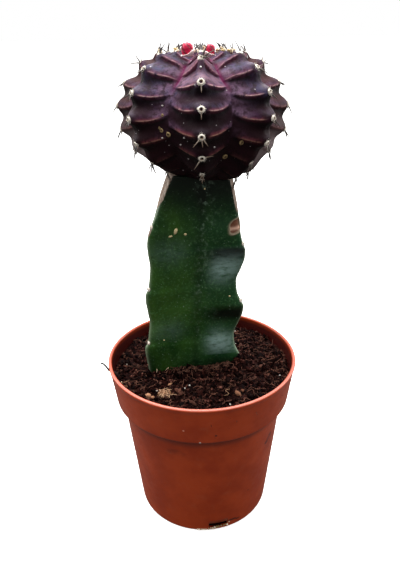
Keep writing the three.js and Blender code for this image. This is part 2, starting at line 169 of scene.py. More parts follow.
class SeededNoise:
    """Smooth noise from about -1 to 1, read from a repeated lattice of seeded numbers."""

    CELLS = 32
    LAYER_SHIFT = 7.3  # millimetres between one layer's lattice and the next one's

    def __init__(self, seed: int) -> None:
        """Draw the lattice."""
        self.lattice = np.random.default_rng(seed).uniform(-1, 1, (self.CELLS,) * 3)

    def at(self, points: Array, size: float) -> Array:
        """Blend the eight lattice numbers round each point.

        Args:
            points: Places in millimetres.
            size: The width of a lattice cell in millimetres.

        Returns:
            One number for each point.
        """
        cell = points / size
        low = np.floor(cell).astype(int)
        part = cell - low
        blend = part * part * (3 - 2 * part)
        total = np.zeros(points.shape[:-1])
        for corner in np.ndindex(2, 2, 2):
            weight = np.prod(np.where(np.array(corner, bool), blend, 1 - blend), axis=-1)
            i, j, k = np.moveaxis((low + np.array(corner)) % self.CELLS, -1, 0)
            total += weight * self.lattice[i, j, k]
        return total

    def layered(self, points: Array, size: float, layers: int, fade: float = 0.5) -> Array:
        """Add layers of noise, each half as wide as the last.

        Args:
            points: Places in millimetres.
            size: The width of the first layer's cells.
            layers: How many layers there are.
            fade: Each layer's strength as a share of the one before.

        Returns:
            One number for each point.
        """
        shares = fade ** np.arange(layers)
        layer = [self.at(points + self.LAYER_SHIFT * i, size / 2**i) for i in range(layers)]
        parts = [share * values for share, values in zip(shares, layer)]
        return sum(parts[1:], parts[0]) / shares.sum()


class RepeatedDraws:
    """The stream of draws from 0 to 1 by which the plain solids' spines were placed."""

    FACTOR = 1664525
    STEP = 1013904223
    STATES = 2**32

    def __init__(self, seed: int) -> None:
        """Start the stream."""
        self.state = seed

    def next(self) -> float:
        """The next draw."""
        self.state = (self.state * self.FACTOR + self.STEP) % self.STATES
        return self.state / self.STATES


@dataclass
class Shell:
    """A closed surface: its points in millimetres, its faces and its point attributes.

    Every face has four corners. In a face with three, the last two are the same point.
    """

    points: Array
    faces: Index
    shades: dict[str, Array] = field(default_factory=dict)

    def shaded(self, **shades: Reals) -> Shell:
        """The same shell with more point attributes, each one number or one for each point."""
        new = {key: np.broadcast_to(value, len(self.points)).copy() for key, value in shades.items()}
        return Shell(self.points, self.faces, {**self.shades, **new})


def joined(shells: list[Shell]) -> Shell:
    """Put several shells with the same attributes into one."""
    starts = np.cumsum([0] + [len(shell.points) for shell in shells[:-1]])
    return Shell(
        np.concatenate([shell.points for shell in shells]),
        np.concatenate([shell.faces + start for shell, start in zip(shells, starts)]),
        {key: np.concatenate([shell.shades[key] for shell in shells]) for key in shells[0].shades},
    )


def lofted(rings: Array, low_end: Array, high_end: Array) -> Shell:
    """Close a stack of rings into a body.

    Args:
        rings: Rows of points, each anticlockwise seen from above, from the lowest ring up.
        low_end: The point that closes the lowest ring.
        high_end: The point that closes the highest ring.

    Returns:
        A shell with the rings' points in order, then the two end points.
    """
    rows, columns = rings.shape[:2]
    here = np.arange(rows * columns).reshape(rows, columns)
    beside = np.roll(here, -1, axis=1)
    quads = np.stack([here[:-1], beside[:-1], beside[1:], here[1:]], axis=-1).reshape(-1, 4)
    low, high = rows * columns, rows * columns + 1
    foot = np.stack([np.full(columns, low), beside[0], here[0], here[0]], axis=-1)
    head = np.stack([np.full(columns, high), here[-1], beside[-1], beside[-1]], axis=-1)
    points = np.concatenate([rings.reshape(-1, 3), [low_end], [high_end]])
    return Shell(points, np.concatenate([quads, foot, head]))


def tubes(paths: Array, radii: Array, sides: int) -> Shell:
    """Carry a small ring along many paths at once, and close both ends of each.

    Args:
        paths: Points of each path, as paths by steps by 3.
        radii: The ring's radius at each step, as paths by steps.
        sides: Corners of the ring.

    Returns:
        One shell of all the tubes, with the attribute "along" from 0 at the root to 1 at the tip.
    """
    count, steps = paths.shape[:2]
    way = unit(np.gradient(paths, axis=1))
    chord = unit(paths[:, -1] - paths[:, 0])
    upright = np.abs(chord[:, 2:]) >= 0.8
    spare = np.where(upright, np.array([1.0, 0.0, 0.0]), UP)
    across = unit(np.cross(way, spare[:, None, :]))
    over = np.cross(across, way)
    turn = all_round(sides)[:, None]
    circle = across[:, :, None] * np.cos(turn) - over[:, :, None] * np.sin(turn)
    rings = paths[:, :, None] + circle * radii[:, :, None, None]
    points = np.concatenate([rings.reshape(count, -1, 3), paths[:, :1], paths[:, -1:]], axis=1)
    faces = lofted(rings[0], paths[0, 0], paths[0, -1]).faces
    starts = points.shape[1] * np.arange(count)[:, None, None]
    along = np.concatenate([np.repeat(np.linspace(0, 1, steps), sides), [0.0, 1.0]])
    shell = Shell(points.reshape(-1, 3), (faces[None] + starts).reshape(-1, 4))
    return shell.shaded(along=np.tile(along, count))


GOLDEN = (1 + np.sqrt(5)) / 2
SIGNS = [(s, t * GOLDEN) for s in (-1, 1) for t in (-1, 1)]
GRAIN_POINTS = unit(
    np.array([(s, t, 0) for s, t in SIGNS] + [(0, s, t) for s, t in SIGNS] + [(t, 0, s) for s, t in SIGNS])
)  # the corners of a regular body with twenty faces
GRAIN_EDGE = 1.1  # a little more than the distance between two corners that share an edge


def grain_faces() -> Index:
    """The twenty faces of the body with twelve corners, all facing outwards."""
    near = np.linalg.norm(GRAIN_POINTS[:, None] - GRAIN_POINTS, axis=-1) < GRAIN_EDGE
    found = []
    for a, b, c in combinations(range(len(GRAIN_POINTS)), 3):
        if near[a, b] and near[b, c] and near[a, c]:
            p, q, r = GRAIN_POINTS[[a, b, c]]
            outwards = np.dot(np.cross(q - p, r - p), p) > 0
            found.append((a, b, c, c) if outwards else (a, c, b, b))
    return np.array(found)


def grains(places: Array, sizes: Array, random: Draws, roughness: float) -> Shell:
    """Scatter irregular grains, each a body of twenty faces with its corners moved in or out.

    Args:
        places: The grains' middles.
        sizes: Half the length of each grain along its own three axes.
        random: The stream of draws.
        roughness: How far a corner moves, as a share of the size.

    Returns:
        One shell of all the grains, with a draw for each grain as the attribute "tint".
    """
    count, corners = len(places), len(GRAIN_POINTS)
    shapes = GRAIN_POINTS * (1 + roughness * random.uniform(-1, 1, (count, corners, 1)))
    shapes = shapes * sizes[:, None, :]
    turns, _ = np.linalg.qr(random.normal(size=(count, 3, 3)))
    turns[np.linalg.det(turns) < 0, :, 0] *= -1
    points = places[:, None] + np.einsum("nij,nkj->nki", turns, shapes)
    faces = grain_faces()[None] + corners * np.arange(count)[:, None, None]
    tint = np.repeat(random.uniform(0, 1, count), corners)
    return Shell(points.reshape(-1, 3), faces.reshape(-1, 4), {"tint": tint})


def cushion_reach(rings: int) -> Array:
    """How far each ring of a cushion lies from its middle, from 1 at the rim to nearly 0."""
    return np.sin(np.linspace(np.pi / 2, 0.06, rings))[:, None]


def upwards(out: Array) -> Array:
    """The steepest way up along a surface that faces out."""
    return unit(np.cross(np.cross(out, UP), out))


def cushion(
    place: Array, out: Array, over: Array, radius: float, height: Array, sunk: float, root: float
) -> Shell:
    """A low round cushion: rings about its middle, each raised by heights of its own.

    Args:
        place: The point of the skin that it grows from.
        out: The direction that it faces.
        over: The direction of each ring's first point.
        radius: The radius of its rim.
        height: Each point's height over the rim's plane, as rings by columns, rim first.
        sunk: How deep the rim's plane lies under the place.
        root: How deep the point that closes it lies.

    Returns:
        The closed cushion.
    """
    rings, columns = height.shape
    turn = all_round(columns)[None, :, None]
    circle = over * np.cos(turn) + np.cross(out, over) * np.sin(turn)
    reach = radius * cushion_reach(rings)[..., None]
    points = place - out * sunk + reach * circle + out * height[:, :, None]
    return lofted(points, place - out * root, points[-1].mean(0))


def put(name: str, data: bpy.types.ID) -> bpy.types.Object:
    """A new object in the scene with the data given."""
    thing = bpy.data.objects.new(name, data)
    bpy.context.scene.collection.objects.link(thing)
    return thing


def make_piece(
    name: str, shell: Shell, finish: Material, smooth: bool = True
) -> bpy.types.Object:
    """Write a shell into a mesh object that rides on the plant.

    Args:
        name: The piece's name.
        shell: Its surface in millimetres.
        finish: Its material.
        smooth: Whether its faces are shaded as one smooth surface.

    Returns:
        The new object, at the origin, with its place in its mesh.
    """
    three = shell.faces[:, 2] == shell.faces[:, 3]
    corners = np.concatenate([shell.faces[~three].ravel(), shell.faces[three, :3].ravel()])
    totals = np.concatenate([np.full((~three).sum(), 4), np.full(three.sum(), 3)])
    mesh = bpy.data.meshes.new(name)
    mesh.vertices.add(len(shell.points))
    mesh.vertices.foreach_set("co", (shell.points * METRES).astype(np.float32).ravel())
    mesh.loops.add(len(corners))
    mesh.loops.foreach_set("vertex_index", corners.astype(np.int32))
    mesh.polygons.add(len(totals))
    mesh.polygons.foreach_set("loop_start", (np.cumsum(totals) - totals).astype(np.int32))
    for key, values in shell.shades.items():
        attribute = mesh.attributes.new(key, "FLOAT", "POINT")
        attribute.data.foreach_set("value", values.astype(np.float32))
    mesh.update(calc_edges=True)
    mesh.validate()
    mesh.polygons.foreach_set("use_smooth", np.full(len(mesh.polygons), smooth))
    mesh.materials.append(finish)
    piece = put(name, mesh)
    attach(piece, BODY)
    LOG.info("%s: %d faces", name, len(mesh.polygons))
    return piece


# Finishes

NOISE_ROUGHNESS = 0.6
SPOT_EDGE = (0.55, 1.1)  # the shares of an oval's size between which a spot fades out


def linear(code: str) -> tuple[float, float, float, float]:
    """An sRGB hex colour, such as "#8c3a22", as linear light with full alpha."""
    parts = np.array([int(code[i : i + 2], 16) for i in (1, 3, 5)]) / 255
    light = np.where(parts <= 0.04045, parts / 12.92, ((parts + 0.055) / 1.055) ** 2.4)
    return (float(light[0]), float(light[1]), float(light[2]), 1.0)


def add_node(
    tree: bpy.types.NodeTree,
    kind: str,
    inputs: Inputs | None = None,
    out: str | int = 0,
    stops: list[tuple[float, str]] | None = None,
    **settings: Any,
) -> Any:
    """Add one node with its settings and links.

    Args:
        tree: The node tree.
        kind: The node's type name after ShaderNode.
        inputs: A socket to link, a value or a hex colour for each input's name or number.
        out: The name or number of the output wanted.
        stops: Positions and hex colours of a colour ramp.
        **settings: The node's own properties.

    Returns:
        The output wanted, or nothing from a node without outputs.
    """
    node = tree.nodes.new("ShaderNode" + kind)
    for key, value in settings.items():
        setattr(node, key, value)
    for key, value in (inputs or {}).items():
        if isinstance(value, Socket):
            tree.links.new(value, node.inputs[key])
        else:
            node.inputs[key].default_value = linear(value) if isinstance(value, str) else value
    if stops:
        elements = node.color_ramp.elements
        while len(elements) < len(stops):
            elements.new(1.0)
        for element, (position, colour) in zip(elements, stops):
            element.position = position
            element.color = linear(colour)
    return node.outputs[out] if node.outputs else None


@dataclass(frozen=True)
class Pattern:
    """Irregular soft patches, which count as a share from 0 to a strength.

    The size is a patch's width in millimetres, stretched along X, Y and Z. The noise behind it
    runs from 0 to 1, and its part between low and high makes the share.
    """

    size: float
    low: float = 0.3
    high: float = 0.7
    strength: float = 1.0
    detail: float = 3.0
    stretch: Triple = (1.0, 1.0, 1.0)

    def scale(self) -> Triple:
        """Patches in a metre along each axis."""
        x, y, z = (1 / (self.size * METRES * factor) for factor in self.stretch)
        return (x, y, z)


class Finish:
    """A material under construction, with the shares from 0 to 1 that lay its colours on."""

    def __init__(self, name: str, patterns: dict[str, Pattern], attributes: tuple[str, ...] = ()) -> None:
        """Make the material's tree, with a share for each pattern and attribute.

        Args:
            name: The material's name.
            patterns: The patterns, by the names of their shares.
            attributes: The point attributes that are shares as they are.
        """
        self.material = bpy.data.materials.new(name)
        self.material.use_nodes = True
        self.tree = self.material.node_tree
        self.tree.nodes.clear()
        self.place = self.add("TexCoord", out="Object")
        self.share: dict[str, Socket] = {}
        for key, pattern in patterns.items():
            where = self.add("Mapping", {"Vector": self.place, "Scale": pattern.scale()})
            look = {"Vector": where, "Scale": 1.0, "Detail": pattern.detail, "Roughness": NOISE_ROUGHNESS}
            limits = {"From Min": pattern.low, "From Max": pattern.high, "To Max": pattern.strength}
            value = {"Value": self.add("TexNoise", look), **limits}
            self.share[key] = self.add("MapRange", value, interpolation_type="SMOOTHSTEP")
        for key in attributes:
            self.share[key] = self.add("Attribute", out="Fac", attribute_name=key)

    def add(self, kind: str, inputs: Inputs | None = None, **settings: Any) -> Any:
        """Add a node to this material's tree."""
        return add_node(self.tree, kind, inputs, **settings)

    def spot(self, name: str, middle: Triple, size: Triple, strength: float = 1.0) -> None:
        """Add a share with its strength inside an oval.

        Args:
            name: The share's name.
            middle: The oval's middle in millimetres.
            size: Half its length along X, Y and Z in millimetres.
            strength: The share inside.
        """
        scale = [1 / (half * METRES) for half in size]
        shift = [-METRES * value * factor for value, factor in zip(middle, scale)]
        where = self.add("Mapping", {"Vector": self.place, "Location": shift, "Scale": scale})
        away = self.add("VectorMath", {0: where}, out="Value", operation="LENGTH")
        inner, outer = SPOT_EDGE
        value = {"Value": away, "From Min": inner, "From Max": outer, "To Min": strength, "To Max": 0.0}
        self.share[name] = self.add("MapRange", value, interpolation_type="SMOOTHSTEP")

    def laid(self, base: Any, layers: dict[str, str]) -> Socket:
        """Lay colours over each other.

        Args:
            base: The colour at the bottom, as a socket or a hex colour.
            layers: The hex colours, by the names of the shares whose product lays them on.

        Returns:
            The colour on top.
        """
        colour = base
        for names, shade in layers.items():
            share, *others = (self.share[name] for name in names.split())
            for other in others:
                share = self.add("Math", {0: share, 1: other}, operation="MULTIPLY")
            colour = self.add("Mix", {0: share, 6: colour, 7: shade}, out=2, data_type="RGBA")
        return colour

    def embossed(self, depths: dict[str, float]) -> Socket:
        """Raise the surface by some of the shares.

        Args:
            depths: How high each share raises it, in millimetres.

        Returns:
            The surface's normal.
        """
        inputs: Inputs = {}
        for name, depth in depths.items():
            raised = {**inputs, "Height": self.share[name], "Distance": depth * METRES}
            inputs = {"Normal": self.add("Bump", raised)}
        return inputs["Normal"]

    def finished(self, inputs: Inputs) -> Material:
        """The material, once its shader has a socket or a value for each input given."""
        self.add("OutputMaterial", {"Surface": self.add("BsdfPrincipled", inputs)})
        return self.material


@dataclass(frozen=True)
class MouldedPolypropylene:
    """Terracotta-coloured polypropylene, injection moulded: satin, scuffed and a little dusty."""

    body: str = "#aa3c11"
    shadow: str = "#962f07"
    # painted shade of the inner wall
    inner: str = "#3d0c08"
    # painted shade in the crease under the collar
    crease: str = "#4e180c"
    # painted highlight along the rim's top, as if lit from above
    lip: str = "#cf7765"
    dust: str = "#a87a60"
    speck: str = "#33180f"
    stain: str = "#5a2110"
    marks: tuple[tuple[Triple, Triple, str], ...] = (
        ((30.0, -19.6, 46.4), (1.3, 1.9, 1.2), "#4a1409"),
        ((29.2, -20.7, 45.0), (1.3, 1.9, 1.4), "#6a1a0b"),
        ((28.4, -21.8, 43.5), (1.3, 1.9, 1.3), "#3c0f07"),
        # the next two near-black ovals are painted shadow of the notch beside the front drain slot
        ((12.9, -28.5, 4.2), (2.9, 2.2, 0.8), "#170805"),
        ((15.6, -27.2, 3.4), (1.6, 1.9, 0.5), "#170805"),
        ((5.2, -40.1, 63.0), (0.6, 0.9, 0.6), "#2a100a"),
        ((-1.3, -39.9, 59.4), (0.5, 0.9, 0.5), "#e8d6cc"),
        ((-7.9, -40.1, 65.7), (0.5, 0.9, 0.5), "#e09a84"),
        ((20.3, -26.1, 19.7), (0.45, 0.9, 0.45), "#2a100a"),
        ((-39.5, -13.0, 68.5), (0.9, 1.2, 1.0), "#3c1a10"),
    )

    def material(self) -> Material:
        """Build the material. It reads "lip", a painted highlight on the rim's top, "inside", painted shade
        on the inner wall, and "crease", painted shade under the collar.
        """
        patterns = {
            "cloudy": Pattern(14.0, 0.35, 0.7),
            "smears": Pattern(5.0, 0.55, 0.85, 0.12, 6.0),
            "specks": Pattern(0.9, 0.74, 0.8, 0.6, 1.0),
            "scuffs": Pattern(3.0, 0.0, 1.0, 1.0, 4.0),
            "grain": Pattern(0.8, 0.0, 1.0, 1.0, 2.0),
        }
        finish = Finish("moulded_polypropylene", patterns, ("lip", "inside", "crease"))
        finish.spot("stain", (-11.6, -34.2, 49.3), (5.0, 4.0, 2.2), 0.5)
        layers = {
            "cloudy": self.shadow,
            "smears": self.dust,
            "specks": self.speck,
            "stain cloudy": self.stain,
            # painted shade inside the pot and in the crease under the collar
            "inside": self.inner,
            "crease": self.crease,
            # a painted highlight on the rim's top
            "lip": self.lip,
        }
        for number, (middle, size, colour) in enumerate(self.marks):
            mark = f"mark_{number}"
            finish.spot(mark, middle, size, 0.8)
            layers[mark] = colour
        roughness = {"Value": finish.share["scuffs"], "To Min": 0.3, "To Max": 0.5}
        return finish.finished({
            "Base Color": finish.laid(self.body, layers),
            "Roughness": finish.add("MapRange", roughness),
            "Normal": finish.embossed({"grain": 0.02}),
            "IOR": 1.49,
            "Specular IOR Level": 0.25,
            "Coat Weight": 0.4,
            "Coat Roughness": 0.22,
        })


@dataclass(frozen=True)
class MoistPeat:
    """Moist potting peat: crumbs of dark rotted moss with brown fibre, matt with wet glints."""

    dark: str = "#050101"
    middle: str = "#1a0907"
    brown: str = "#2e130f"
    light: str = "#7a5144"

    def material(self) -> Material:
        """Build the material.

        It reads the attribute "tint", which differs from crumb to crumb. The mean of that and a
        fine mixture picks the colour.
        """
        patterns = {"mixed": Pattern(0.9, 0.2, 0.8, 1.0, 4.0), "grain": Pattern(0.35, 0.0, 1.0)}
        finish = Finish("moist_peat", patterns, ("tint",))
        total = finish.add("Math", {0: finish.share["mixed"], 1: finish.share["tint"]}, operation="ADD")
        half = finish.add("Math", {0: total, 1: 0.5}, operation="MULTIPLY")
        scale = [(0.28, self.dark), (0.54, self.middle), (0.72, self.brown), (0.92, self.light)]
        return finish.finished({
            "Base Color": finish.add("ValToRGB", {"Fac": half}, stops=scale),
            "Roughness": 0.6,
            "Normal": finish.embossed({"grain": 0.12}),
            "IOR": 1.4,
            "Specular IOR Level": 0.04,
        })


@dataclass(frozen=True)
class WaxyStemSkin:
    """The living skin of the green stem: smooth, waxy and dark, with pale pores and cork scars."""

    deep: str = "#12350f"
    fresh: str = "#40681e"
    blue: str = "#113a20"
    # a painted sheen, where a face swells towards the light
    wax: str = "#93b0aa"
    # painted shade: under the areoles, mid-face, under the graft and at the soil
    shaded: str = "#030c05"
    pale: str = "#86a08a"
    speckled: str = "#5f8a5a"
    cork: str = "#b5a698"
    dark_cork: str = "#7a6557"
    scar: str = "#6a4230"
    callus: str = "#d3a892"
    scar_rim: str = "#a9967f"
    margin: str = "#8f9f84"

    def material(self) -> Material:
        """Build the material.

        It reads "side", 0 at a face's left margin and 1 at its right, the share of a painted sheen
        where a face swells towards the light, "shade", painted shade, and "pores", where a face is
        pitted, "line", 1 along a margin, "cork" and "scar", 1 where the skin has healed over a cut,
        "callus", 1 on the scar's pale ridge, "rim", 1 on its edge, and "sound", 1 where the skin is whole.
        """
        patterns = {
            "cloudy": Pattern(11.0, 0.3, 0.75, 0.6, 3.0, (1.0, 1.0, 1.6)),
            "half": Pattern(40.0, 0.0, 0.1, 0.75),
            "fine": Pattern(0.9, 0.5, 0.75, 0.4, 3.0),
            "brushed": Pattern(4.0, 0.15, 0.6, 1.0, 3.0, (1.0, 1.0, 0.4)),
            "pits": Pattern(2.1, 0.5, 0.75, 0.32, 2.0),
            "few_pits": Pattern(1.0, 0.7, 0.8, 0.5, 1.0),
            "bark": Pattern(1.0, 0.35, 0.7, 1.0, 2.0, (0.7, 0.7, 8.0)),
            "waves": Pattern(2.2, 0.0, 1.0),
            "grain": Pattern(0.5, 0.0, 1.0, 1.0, 2.0),
        }
        names = ("side", "wax", "shade", "pores", "line", "cork", "scar", "callus", "rim", "sound")
        finish = Finish("waxy_stem_skin", patterns, names)
        # a near-black blot near the top of the front face, laid in the painted shade's colour
        finish.spot("blot", (1.1, -12.0, 155.0), (2.4, 5.0, 2.6), 0.85)
        layers = {
            "cloudy": self.fresh,
            "side half": self.blue,
            "fine": self.speckled,
            # painted shade
            "shade": self.shaded,
            # a painted sheen where a face swells towards the light
            "wax brushed": self.wax,
            "pits pores": self.pale,
            "few_pits": self.pale,
            "blot": self.shaded,
            "line": self.margin,
            "cork": self.dark_cork,
            "cork bark": self.cork,
            "scar": self.scar,
            "callus": self.callus,
            "rim": self.scar_rim,
        }
        roughness = {"Value": finish.share["sound"], "To Min": 0.9, "To Max": 0.42}
        return finish.finished({
            "Base Color": finish.laid(self.deep, layers),
            "Roughness": finish.add("MapRange", roughness),
            "Normal": finish.embossed({"waves": 0.12, "grain": 0.02}),
            "IOR": 1.42,
            "Specular IOR Level": 0.25,
            "Coat Weight": 0.08,
            "Coat Roughness": 0.3,
        })


@dataclass(frozen=True)
class CactusEpidermis:
    """The skin of the dark head: dull violet-brown with corky cross bands, and painted shade that deepens it
    to nearly black below.
    """

    # the colours by height, darkening downwards partly as painted shade
    upper: str = "#352033"
    middle: str = "#270e1f"
    low: str = "#1a090d"
    lowest: str = "#0d0605"
    # blue-grey mottle, partly a painted sheen on the upper half
    blue: str = "#333a58"
    violet: str = "#461637"
    haze: str = "#755870"
    rose: str = "#84606c"
    # painted shade below the cross bands
    shaded: str = "#260a1a"
    crease: str = "#5c0f3d"
    # painted shadow under the bands and below the areoles
    black: str = "#0a0407"
    blush: str = "#84405a"
    low_blush: str = "#7a4038"
    band: str = "#d8aeaa"
    low_band: str = "#9a7860"
    # pale flecks, and a painted highlight above each areole
    bloom: str = "#8b818c"
    russet: str = "#3a1613"
    # painted reflection on the lower flanks that face sideways
    painted_edge_reflection: str = "#a8989a"
    dust: str = "#cfc6c8"

    def material(self) -> Material:
        """Build the material.

        It reads "height", 0 at the graft and 1 at the crown, by which the colour darkens downwards,
        partly as painted shade, "top" and "bottom", shares of the head's two halves, "haze" and
        "crease" in the valleys, "rose", 1 on the upper front, "blush" and "band" along the cross
        bands, "under" and "panel", painted shade below them, the shares of painted shade below an
        areole and of a painted highlight above one, "russet" on the two sides, and a share of painted
        reflection on the flanks that face down there.
        """
        patterns = {
            "cool": Pattern(6.0, 0.34, 0.62, 0.85, 4.0),
            "warm": Pattern(3.0, 0.45, 0.68, 0.7, 4.0),
            "blotches": Pattern(1.8, 0.44, 0.64, 0.75, 5.0),
            "fleck": Pattern(1.6, 0.5, 0.75, 0.15, 4.0),
            "brushed": Pattern(2.4, 0.2, 0.65, 1.0, 4.0, (1.4, 1.4, 0.8)),
            "broken": Pattern(1.5, 0.26, 0.56, 1.0, 3.0),
            "dusty": Pattern(1.1, 0.82, 0.86, 0.6, 0.0),
            "waves": Pattern(1.8, 0.0, 1.0, 1.0, 4.0),
            "grain": Pattern(0.45, 0.0, 1.0, 1.0, 2.0),
        }
        names = ("height", "top", "bottom", "haze", "rose", "crease", "blush", "band", "under", "panel")
        finish = Finish("cactus_epidermis", patterns, (*names, "painted_shade_under_areole", "bloom", "russet", "painted_edge_reflection"))
        # the skin's own dark tone, with painted shade that deepens it to nearly black towards the graft
        scale = [(0.0, self.lowest), (0.36, self.low), (0.57, self.middle), (0.8, self.upper)]
        base = finish.add("ValToRGB", {"Fac": finish.share["height"]}, stops=scale)
        layers = {
            # blue-grey mottle on the upper half, partly a painted sheen from above
            "cool top": self.blue,
            "warm height": self.violet,
            "haze brushed": self.haze,
            "blotches": self.low,
            "fleck top": self.bloom,
            # painted highlight above each areole
            "bloom brushed": self.bloom,
            "rose brushed": self.rose,
            # painted shade at the top of each panel below a band, darker low on the head
            "panel": self.shaded,
            "panel bottom": self.low,
            "russet": self.russet,
            # painted shadow under each band's lip
            "under": self.black,
            # painted shade below each areole
            "painted_shade_under_areole": self.black,
            # painted reflection on the lower flanks seen edge-on
            "painted_edge_reflection": self.painted_edge_reflection,
            "crease": self.crease,
            "blush broken": self.blush,
            "blush broken bottom": self.low_blush,
            "band broken bottom": self.low_band,
            "band broken top": self.band,
            "dusty": self.dust,
        }
        return finish.finished({
            "Base Color": finish.laid(base, layers),
            "Roughness": 0.55,
            "Normal": finish.embossed({"waves": 0.2, "grain": 0.02}),
            "IOR": 1.4,
            "Specular IOR Level": 0.14,
        })


@dataclass(frozen=True)
class Felt:
    """Fine plant hair matted to a cushion: off-white wool, brown where it has worn to a pit."""

    light: str = "#f0e8da"
    grey: str = "#c2b6a2"
    pit: str = "#5a3a1c"
    ochre: str = "#a58253"

    def material(self) -> Material:
        """Build the material. It reads the attribute "pit", 1 where the wool has gone."""
        patterns = {
            "cloudy": Pattern(0.7, 0.45, 0.75, 0.8),
            "stain": Pattern(0.9, 0.45, 0.6),
            "fuzz": Pattern(0.25, 0.0, 1.0, 1.0, 2.0),
        }
        finish = Finish("areole_felt", patterns, ("pit",))
        layers = {"cloudy": self.grey, "pit": self.pit, "pit stain": self.ochre}
        return finish.finished({
            "Base Color": finish.laid(self.light, layers),
            "Roughness": 0.95,
            "Normal": finish.embossed({"fuzz": 0.1}),
            "IOR": 1.35,
            "Sheen Weight": 0.3,
        })


@dataclass(frozen=True)
class Horn:
    """Spine horn: hard and dull, from pale grey-brown on the front to nearly black with age."""

    pale: str = "#c6b9ab"
    worn: str = "#94806e"
    tip: str = "#6e5848"
    old: str = "#1d1715"

    def material(self) -> Material:
        """Build the material. It reads "along", 1 at a spine's tip, and "age", 1 on dark spines."""
        finish = Finish("spine_horn", {"cloudy": Pattern(1.2)}, ("along", "age"))
        layers = {"cloudy": self.worn, "along": self.tip, "age": self.old}
        return finish.finished({"Base Color": finish.laid(self.pale, layers), "Roughness": 0.5, "IOR": 1.5})


@dataclass(frozen=True)
class Petal:
    """Petals of an unopened bud: smooth and saturated, veined, with painted shade along each fold."""

    name: str
    bright: str
    deep: str
    # painted shade along the folds
    fold: str

    def material(self) -> Material:
        """Build the material. It reads the attribute "edge", 1 along a fold, where painted shade darkens it.
        """
        patterns = {"veins": Pattern(0.6, 0.35, 0.75, 0.6), "grain": Pattern(0.3, 0.0, 1.0, 1.0, 2.0)}
        finish = Finish(self.name, patterns, ("edge",))
        return finish.finished({
            "Base Color": finish.laid(self.bright, {"veins": self.deep, "edge": self.fold}),
            "Roughness": 0.4,
            "Normal": finish.embossed({"grain": 0.04}),
            "IOR": 1.4,
        })


@dataclass(frozen=True)
class DryMatter:
    """Dry plant matter, such as bark, root, cork or grit: fibrous, matt, light or dark by a tint."""

    name: str
    dark: str
    light: str

    def material(self) -> Material:
        """Build the material.

        It reads the attribute "tint", 0 for the dark colour and 1 for the light one.
        """
        patterns = {"patchy": Pattern(0.7, 0.3, 0.75, 0.4), "grain": Pattern(0.3, 0.0, 1.0, 1.0, 2.0)}
        finish = Finish(self.name, patterns, ("tint",))
        return finish.finished({
            "Base Color": finish.laid(self.dark, {"tint": self.light, "patchy": self.dark}),
            "Roughness": 0.85,
            "Normal": finish.embossed({"grain": 0.06}),
            "IOR": 1.45,
            "Specular IOR Level": 0.2,
        })


CRIMSON_PETAL = Petal("crimson_petal", "#cf1746", "#9a0d33", "#560619")
PALE_SCALE = Petal("pale_scale", "#f8e8e3", "#e6b9bd", "#d597a0")
SLOT_LITTER = DryMatter("slot_litter", "#8a7048", "#f0dcc2")
SCRATCH_FLAKE = DryMatter("scratch_flake", "#b59a6a", "#dccb9c")
RING_SCAR_CORK = DryMatter("ring_scar_cork", "#3a2418", "#a89068")
STUCK_GRIT = DryMatter("stuck_grit", "#b9b0ac", "#efeae6")
OLD_WOOL = DryMatter("old_wool", "#cdb27e", "#f6ecd8")
PEAT_FIBRE = DryMatter("peat_fibre", "#1c0c09", "#734b3b")
BARK_CHIP = DryMatter("bark_chip", "#22110c", "#6a4234")
PERLITE_GRIT = DryMatter("perlite_grit", "#9c948a", "#efe9df")
DRY_ROOT = DryMatter("dry_root", "#7a5236", "#dcb592")
FOOT_LITTER = DryMatter("foot_litter", "#2a150f", "#735040")
ROOT_STRAND = DryMatter("root_strand", "#8a6444", "#dcc0a4")
BARK_LUMP = DryMatter("bark_lump", "#5a3424", "#a87a5c")
TWIG = DryMatter("twig", "#120a08", "#2c1c16")


# The pot


